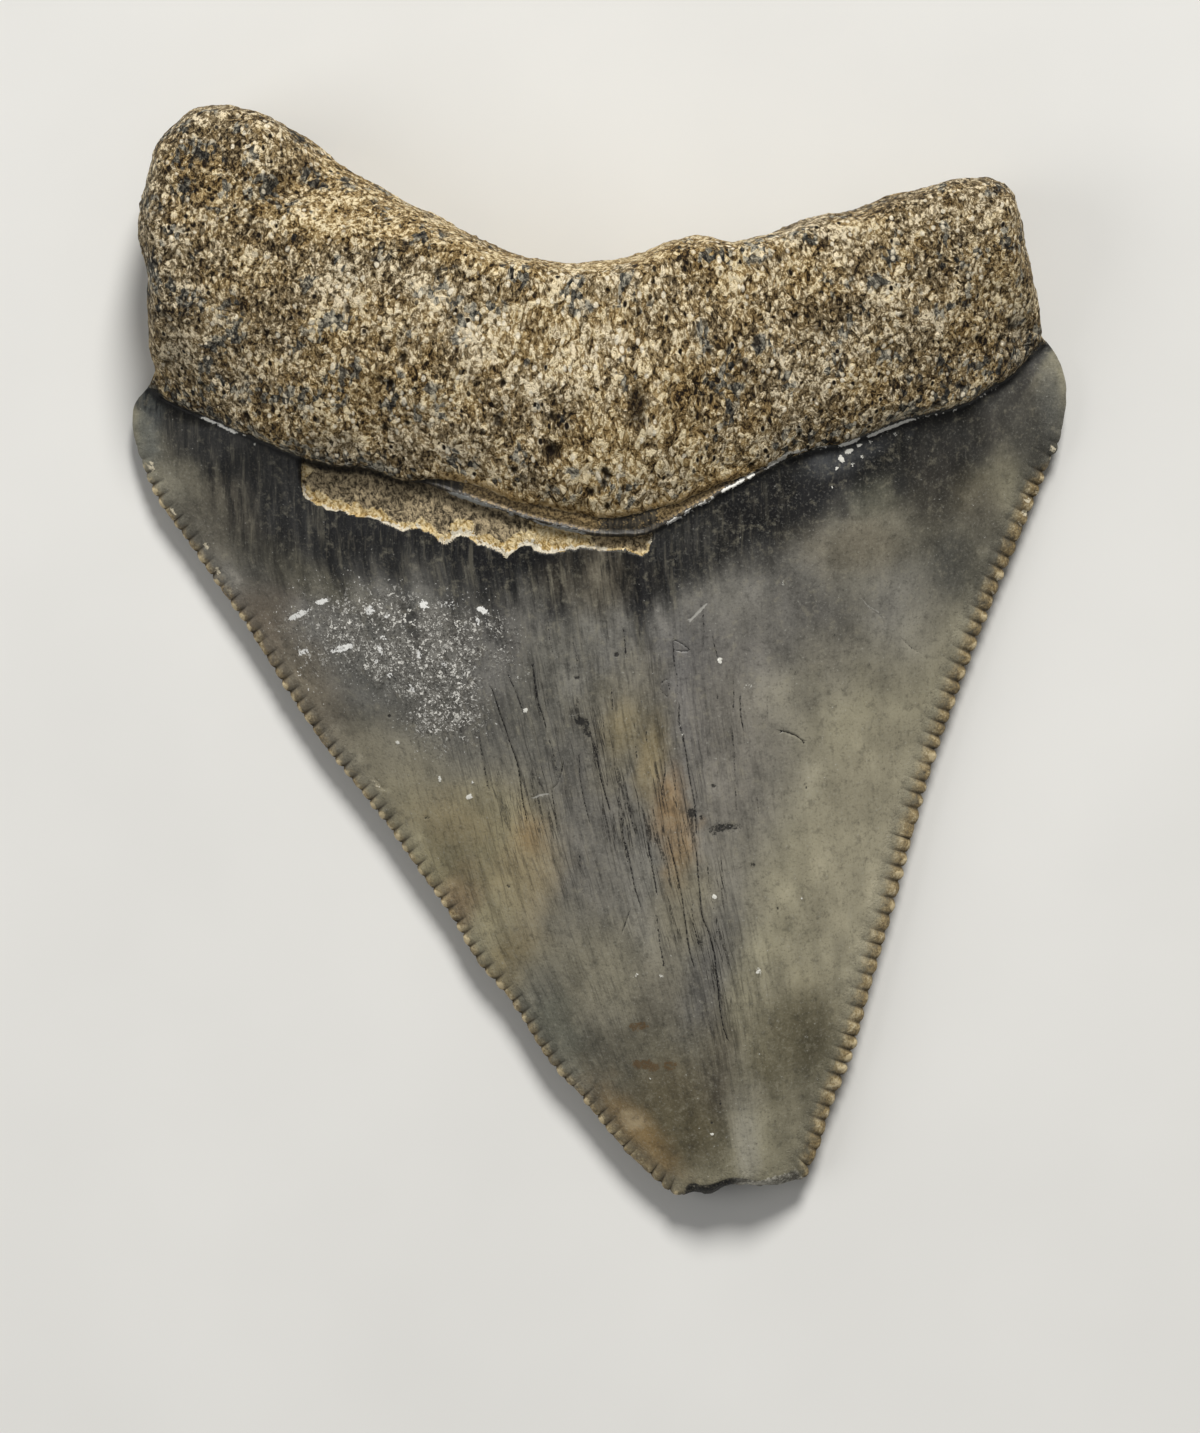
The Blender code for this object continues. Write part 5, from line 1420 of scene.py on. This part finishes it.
def enamel_material(name, frosted=False, margin=False):
    """Dark glossy enamel with growth lines and hairlines. The frosted patch and the serrated margin add their own marks."""
    mat, g, mm = base(name)
    flow_v = g.attr("flow", "Vector")
    paint = g.attr("paint", "Color")
    band, topband = g.attr("band"), g.attr("topband")
    crest, line_dark = g.attr("crest"), g.attr("line_dark")

    dust = g.noise(mm, 7.5, 3.0, 0.68)
    speckle = g.math("SUBTRACT", dust, 0.5)
    lines = g.noise(g.mapping(flow_v, scale=(1.0, 0.11, 1.0)), 5.6, 3.0, 0.62)
    line = g.math("SUBTRACT", lines, 0.5)
    wide = g.noise(g.mapping(flow_v, scale=(1.0, 0.13, 1.0), location=(3, 8, 0)), 2.3, 3.0, 0.66)
    lined = g.attr("lined")
    cloudy = g.noise(mm, 2.1, 4.0, 0.70)
    colour = g.mix(g.mul(g.step(wide, 0.52, 0.36), g.mul(lined, g.mixf(topband, 0.30, 0.94))), paint, srgb(17, 17, 18))
    colour = g.mix(g.mul(g.step(cloudy, 0.50, 0.30), 0.34), colour, srgb(40, 39, 36))
    colour = g.mix(g.mul(g.step(cloudy, 0.52, 0.72), 0.30), colour, srgb(158, 152, 132))
    colour = g.mix(g.mul(g.step(wide, 0.52, 0.70), g.mul(lined, g.mixf(topband, 0.20, 0.30))), colour, srgb(150, 144, 125))
    colour = g.mix(g.mul(g.step(line, -0.02, -0.17), g.mul(lined, g.mixf(topband, 0.36, 0.74))), colour, srgb(22, 22, 23))
    colour = g.mix(g.mul(g.step(line, 0.05, 0.24), g.mul(lined, g.mixf(topband, 0.22, 0.16))), colour, srgb(158, 151, 132))
    colour = g.mix(g.mul(g.step(speckle, 0.02, 0.24), g.mixf(topband, 0.24, 0.10)), colour, srgb(172, 170, 158))
    colour = g.mix(g.mul(g.step(speckle, -0.03, -0.24), 0.40), colour, srgb(34, 33, 31))
    if not margin:
        crack, scratch, white = g.attr("crack"), g.attr("scratch"), g.attr("white")
        dark, stain, hairs = g.attr("dark"), g.attr("stain"), g.attr("hairs")
        hair = g.noise(g.mapping(flow_v, scale=(1.0, 0.070, 1.0), location=(5, 1, 0)), 2.6, 2.0, 0.60)
        hair_on = g.mul(g.step(g.math("ABSOLUTE", g.plus(hair, -0.5)), 0.034, 0.008), g.mul(hairs, g.step(speckle, -0.12, 0.02)))
        colour = g.mix(g.mul(hair_on, 0.8), colour, srgb(30, 28, 26))
        colour = g.mix(g.mul(g.step(g.plus(stain, g.mul(speckle, 2.6)), 0.34, 0.80), g.step(stain, 0.03, 0.20, 0.0, 0.75)), colour, srgb(92, 70, 42))
        colour = g.mix(g.mul(g.step(g.plus(dark, g.mul(speckle, 3.0)), 0.30, 0.80), g.step(dark, 0.03, 0.20, 0.0, 0.85)), colour, srgb(24, 24, 25))
        crack_on = g.mul(g.step(g.plus(crack, g.mul(speckle, 2.6)), 0.42, 0.82), g.step(crack, 0.03, 0.20, 0.0, 0.92))
        colour = g.mix(crack_on, colour, srgb(19, 19, 21))
        colour = g.mix(g.mul(g.step(g.plus(scratch, speckle), 0.2, 0.7), 0.65), colour, srgb(184, 182, 174))
        # Pale marks: white chips and painted highlight flecks.
        colour = g.mix(g.mul(g.step(g.plus(white, g.mul(speckle, 2.6)), 0.42, 0.68), g.step(white, 0.03, 0.25)), colour, srgb(228, 226, 216))
        skin = g.plus(g.mul(line, g.mixf(topband, 0.010, 0.035)), g.mul(speckle, 0.016))
        height = g.plus(skin, g.plus(g.mul(crack, -0.026), g.mul(hair_on, -0.010)))
        rough = g.plus(g.mul(dust, 0.24), 0.27)
    if frosted:
        frost, glint = g.attr("frost"), g.attr("glint")
        warped = g.add("ShaderNodeVectorMath", {0: mm, 1: g.noise(mm, 2.6, 2.0, 0.6, out=1)}, operation="ADD").outputs[0]
        flake = g.add("ShaderNodeTexVoronoi", {"Vector": warped, "Scale": 4.0, "Randomness": 1.0}, feature="F1")
        sep = g.add("ShaderNodeSeparateColor", {0: flake.outputs["Color"]})
        patch = g.noise(mm, 1.3, 3.0, 0.62)
        thick = g.plus(frost, g.mul(g.plus(patch, -0.5), 3.0))
        level = g.plus(thick, g.mul(g.plus(sep.outputs[0], -0.5), 1.1))
        # Painted highlights: white flakes and a pale mottle on the rough patch.
        painted_glint_flakes = g.mul(g.step(level, 0.70, 0.90), g.step(g.plus(flake.outputs["Distance"], g.mul(speckle, 1.8)), 0.46, 0.30))
        painted_glint_flakes = g.mul(painted_glint_flakes, frost)
        colour = g.mix(g.mul(g.step(thick, 0.35, 1.15), g.mul(frost, 0.50)), colour, srgb(82, 78, 71))
        mottle = g.mul(g.step(g.plus(g.mul(speckle, 3.2), g.mul(g.plus(thick, -0.9), 0.55)), 0.12, 0.40), frost)
        colour = g.mix(g.mul(mottle, 0.24), colour, srgb(192, 189, 180))
        colour = g.mix(g.mul(g.mul(g.step(speckle, -0.03, -0.14), frost), 0.7), colour, srgb(42, 40, 37))
        colour = g.mix(g.mul(painted_glint_flakes, g.mixf(sep.outputs[2], 0.45, 1.1)), colour, srgb(230, 227, 218))
        # Painted highlights: the glints of the frosted patch.
        colour = g.mix(g.step(g.plus(glint, g.mul(speckle, 3.4)), 0.48, 0.74), colour, srgb(240, 239, 234))
        height = g.plus(height, g.mul(g.mul(patch, frost), 0.10))
        height = g.plus(height, g.mul(painted_glint_flakes, 0.03))
        rough = g.plus(rough, g.mul(frost, 0.08))
    if margin:
        gap, bump, rim, tip = g.attr("gap"), g.attr("bump"), g.attr("margin"), g.attr("tip")
        tippale = g.attr("tippale")
        patch = g.noise(mm, 1.7, 3.0, 0.62)
        mottled = g.plus(g.mul(patch, 0.65), g.mul(dust, 0.5))
        bead_col = g.ramp(mottled, [(0.36, srgb(56, 46, 32)), (0.48, srgb(112, 94, 60)), (0.58, srgb(158, 134, 88)), (0.72, srgb(216, 200, 162))])
        amount = g.step(g.plus(rim, g.mul(g.plus(patch, -0.5), 0.7)), 0.30, 0.85)
        colour = g.mix(g.mul(amount, 0.80), colour, bead_col)
        cut = g.step(g.plus(gap, g.mul(speckle, 0.5)), 0.18, 0.72)
        colour = g.mix(g.mul(cut, 0.70), colour, srgb(44, 36, 26))
        # Painted highlight: the crests of the beads are lightened to cream.
        top = g.step(g.plus(bump, g.mul(g.plus(patch, -0.5), 1.5)), 0.78, 1.10)
        colour = g.mix(g.mul(top, 0.75), colour, srgb(214, 196, 156))
        broken = g.ramp(g.plus(g.mul(dust, 0.7), g.mul(patch, 0.35)), [(0.38, srgb(14, 14, 14)), (0.55, srgb(46, 44, 40)), (0.72, srgb(120, 114, 98))])
        broken = g.mix(tippale, broken, g.mix(g.step(mottled, 0.46, 0.70), srgb(92, 89, 79), srgb(190, 186, 172)))
        colour = g.mix(g.step(g.plus(tip, g.mul(speckle, 0.8)), 0.35, 0.65), colour, broken)
        # Pale marks on the margin: white chips and painted highlight flecks.
        pale = g.attr("white")
        colour = g.mix(g.mul(g.step(g.plus(pale, g.mul(speckle, 2.2)), 0.40, 0.66), g.step(pale, 0.03, 0.25)), colour, srgb(218, 207, 180))
        height = g.plus(g.mul(speckle, 0.05), g.mul(g.mul(patch, rim), 0.10))
        rough = g.plus(g.mul(dust, 0.30), 0.34)
    band_col = g.ramp(lines, [(0.3, srgb(32, 30, 28)), (0.5, srgb(66, 61, 53)), (0.75, srgb(122, 112, 92))])
    band_col = g.mix(g.mul(g.step(g.plus(g.attr("bandwarm"), g.mul(speckle, 1.6)), 0.30, 0.62), 0.85), band_col,
                     g.mix(g.step(dust, 0.36, 0.66), srgb(78, 60, 34), srgb(196, 168, 118)))
    colour = g.mix(band, colour, band_col)
    # Painted shadow under the root's lower edge, then the painted highlight along the enamel edge.
    colour = g.mix(g.mul(line_dark, 0.93), colour, srgb(14, 14, 14))
    colour = g.mix(g.mul(g.step(g.plus(crest, g.mul(speckle, 2.0)), 0.40, 0.60), 0.95), colour,
                   g.mix(g.attr("cool"), srgb(240, 238, 230), srgb(158, 160, 157)))
    finish_off(g, colour, rough, height, 0.22)
    return mat


def tooth_materials():
    return [root_material(), enamel_material("enamel"), enamel_material("enamel_frosted", frosted=True),
            enamel_material("enamel_margin", margin=True)]


def floor_material():
    mat = bpy.data.materials.new("pale_floor")
    g = Nodes(mat)
    obj = g.add("ShaderNodeTexCoord").outputs["Object"]
    soft = g.noise(g.mapping(obj, scale=(60, 60, 60)), 1.0, 3.0, 0.5)
    colour = g.ramp(soft, [(0.3, srgb(219, 218, 214)), (0.7, srgb(224, 223, 219))])
    shader = g.add("ShaderNodeBsdfPrincipled", {"Base Color": colour, "Roughness": 0.75})
    out = g.add("ShaderNodeOutputMaterial")
    g.tree.links.new(shader.outputs[0], out.inputs[0])
    return mat


# =============================================================== scene
def area(name, place, target, size, power, colour=(1, 1, 1)):
    light = bpy.data.lights.new(name, "AREA")
    light.shape = "DISK"
    light.size = size
    light.energy = power
    light.color = colour
    obj = bpy.data.objects.new(name, light)
    obj.location = place
    obj.rotation_euler = (Vector(target) - Vector(place)).to_track_quat("-Z", "Y").to_euler()
    bpy.context.scene.collection.objects.link(obj)


tooth = make_tooth()
for finish in tooth_materials():
    tooth.data.materials.append(finish)
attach(tooth, "root")
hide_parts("tooth")

floor_mesh = bpy.data.meshes.new("floor")
floor_mesh.from_pydata([(-3, -3, -0.00002), (3, -3, -0.00002), (3, 3, -0.00002), (-3, 3, -0.00002)], [], [(0, 1, 2, 3)])
floor = bpy.data.objects.new("floor", floor_mesh)
bpy.context.scene.collection.objects.link(floor)
floor_mesh.materials.append(floor_material())

world = bpy.data.worlds.new("studio")
bpy.context.scene.world = world
world.use_nodes = True
world.node_tree.nodes["Background"].inputs["Color"].default_value = (1.0, 1.0, 1.0, 1.0)
world.node_tree.nodes["Background"].inputs["Strength"].default_value = 0.18
area("key", (0.10, 0.52, 0.50), (0, 0, 0), 0.24, 5.7, (1.0, 0.99, 0.97))
area("fill", (-0.55, -0.05, 0.45), (0, 0, 0), 0.5, 1.2, (1.0, 1.0, 1.0))
bpy.context.scene.view_settings.view_transform = "Standard"
bpy.context.scene.view_settings.look = "None"
bpy.context.scene.cycles.max_bounces = 4
bpy.context.scene.cycles.diffuse_bounces = 2
bpy.context.scene.cycles.glossy_bounces = 2

cam = bpy.data.cameras.new("camera")
DISTANCE = 0.420
cam.lens = 36.0 * (DISTANCE - 0.002) / 0.07165      # 1433 px span 71.65 mm at the tooth
cam.clip_start = 0.01
cam.clip_end = 20
cam_obj = bpy.data.objects.new("camera", cam)
cam_obj.location = (0.0, -0.00315, DISTANCE)
cam_obj.rotation_euler = (0, 0, 0)
bpy.context.scene.collection.objects.link(cam_obj)
bpy.context.scene.camera = cam_obj
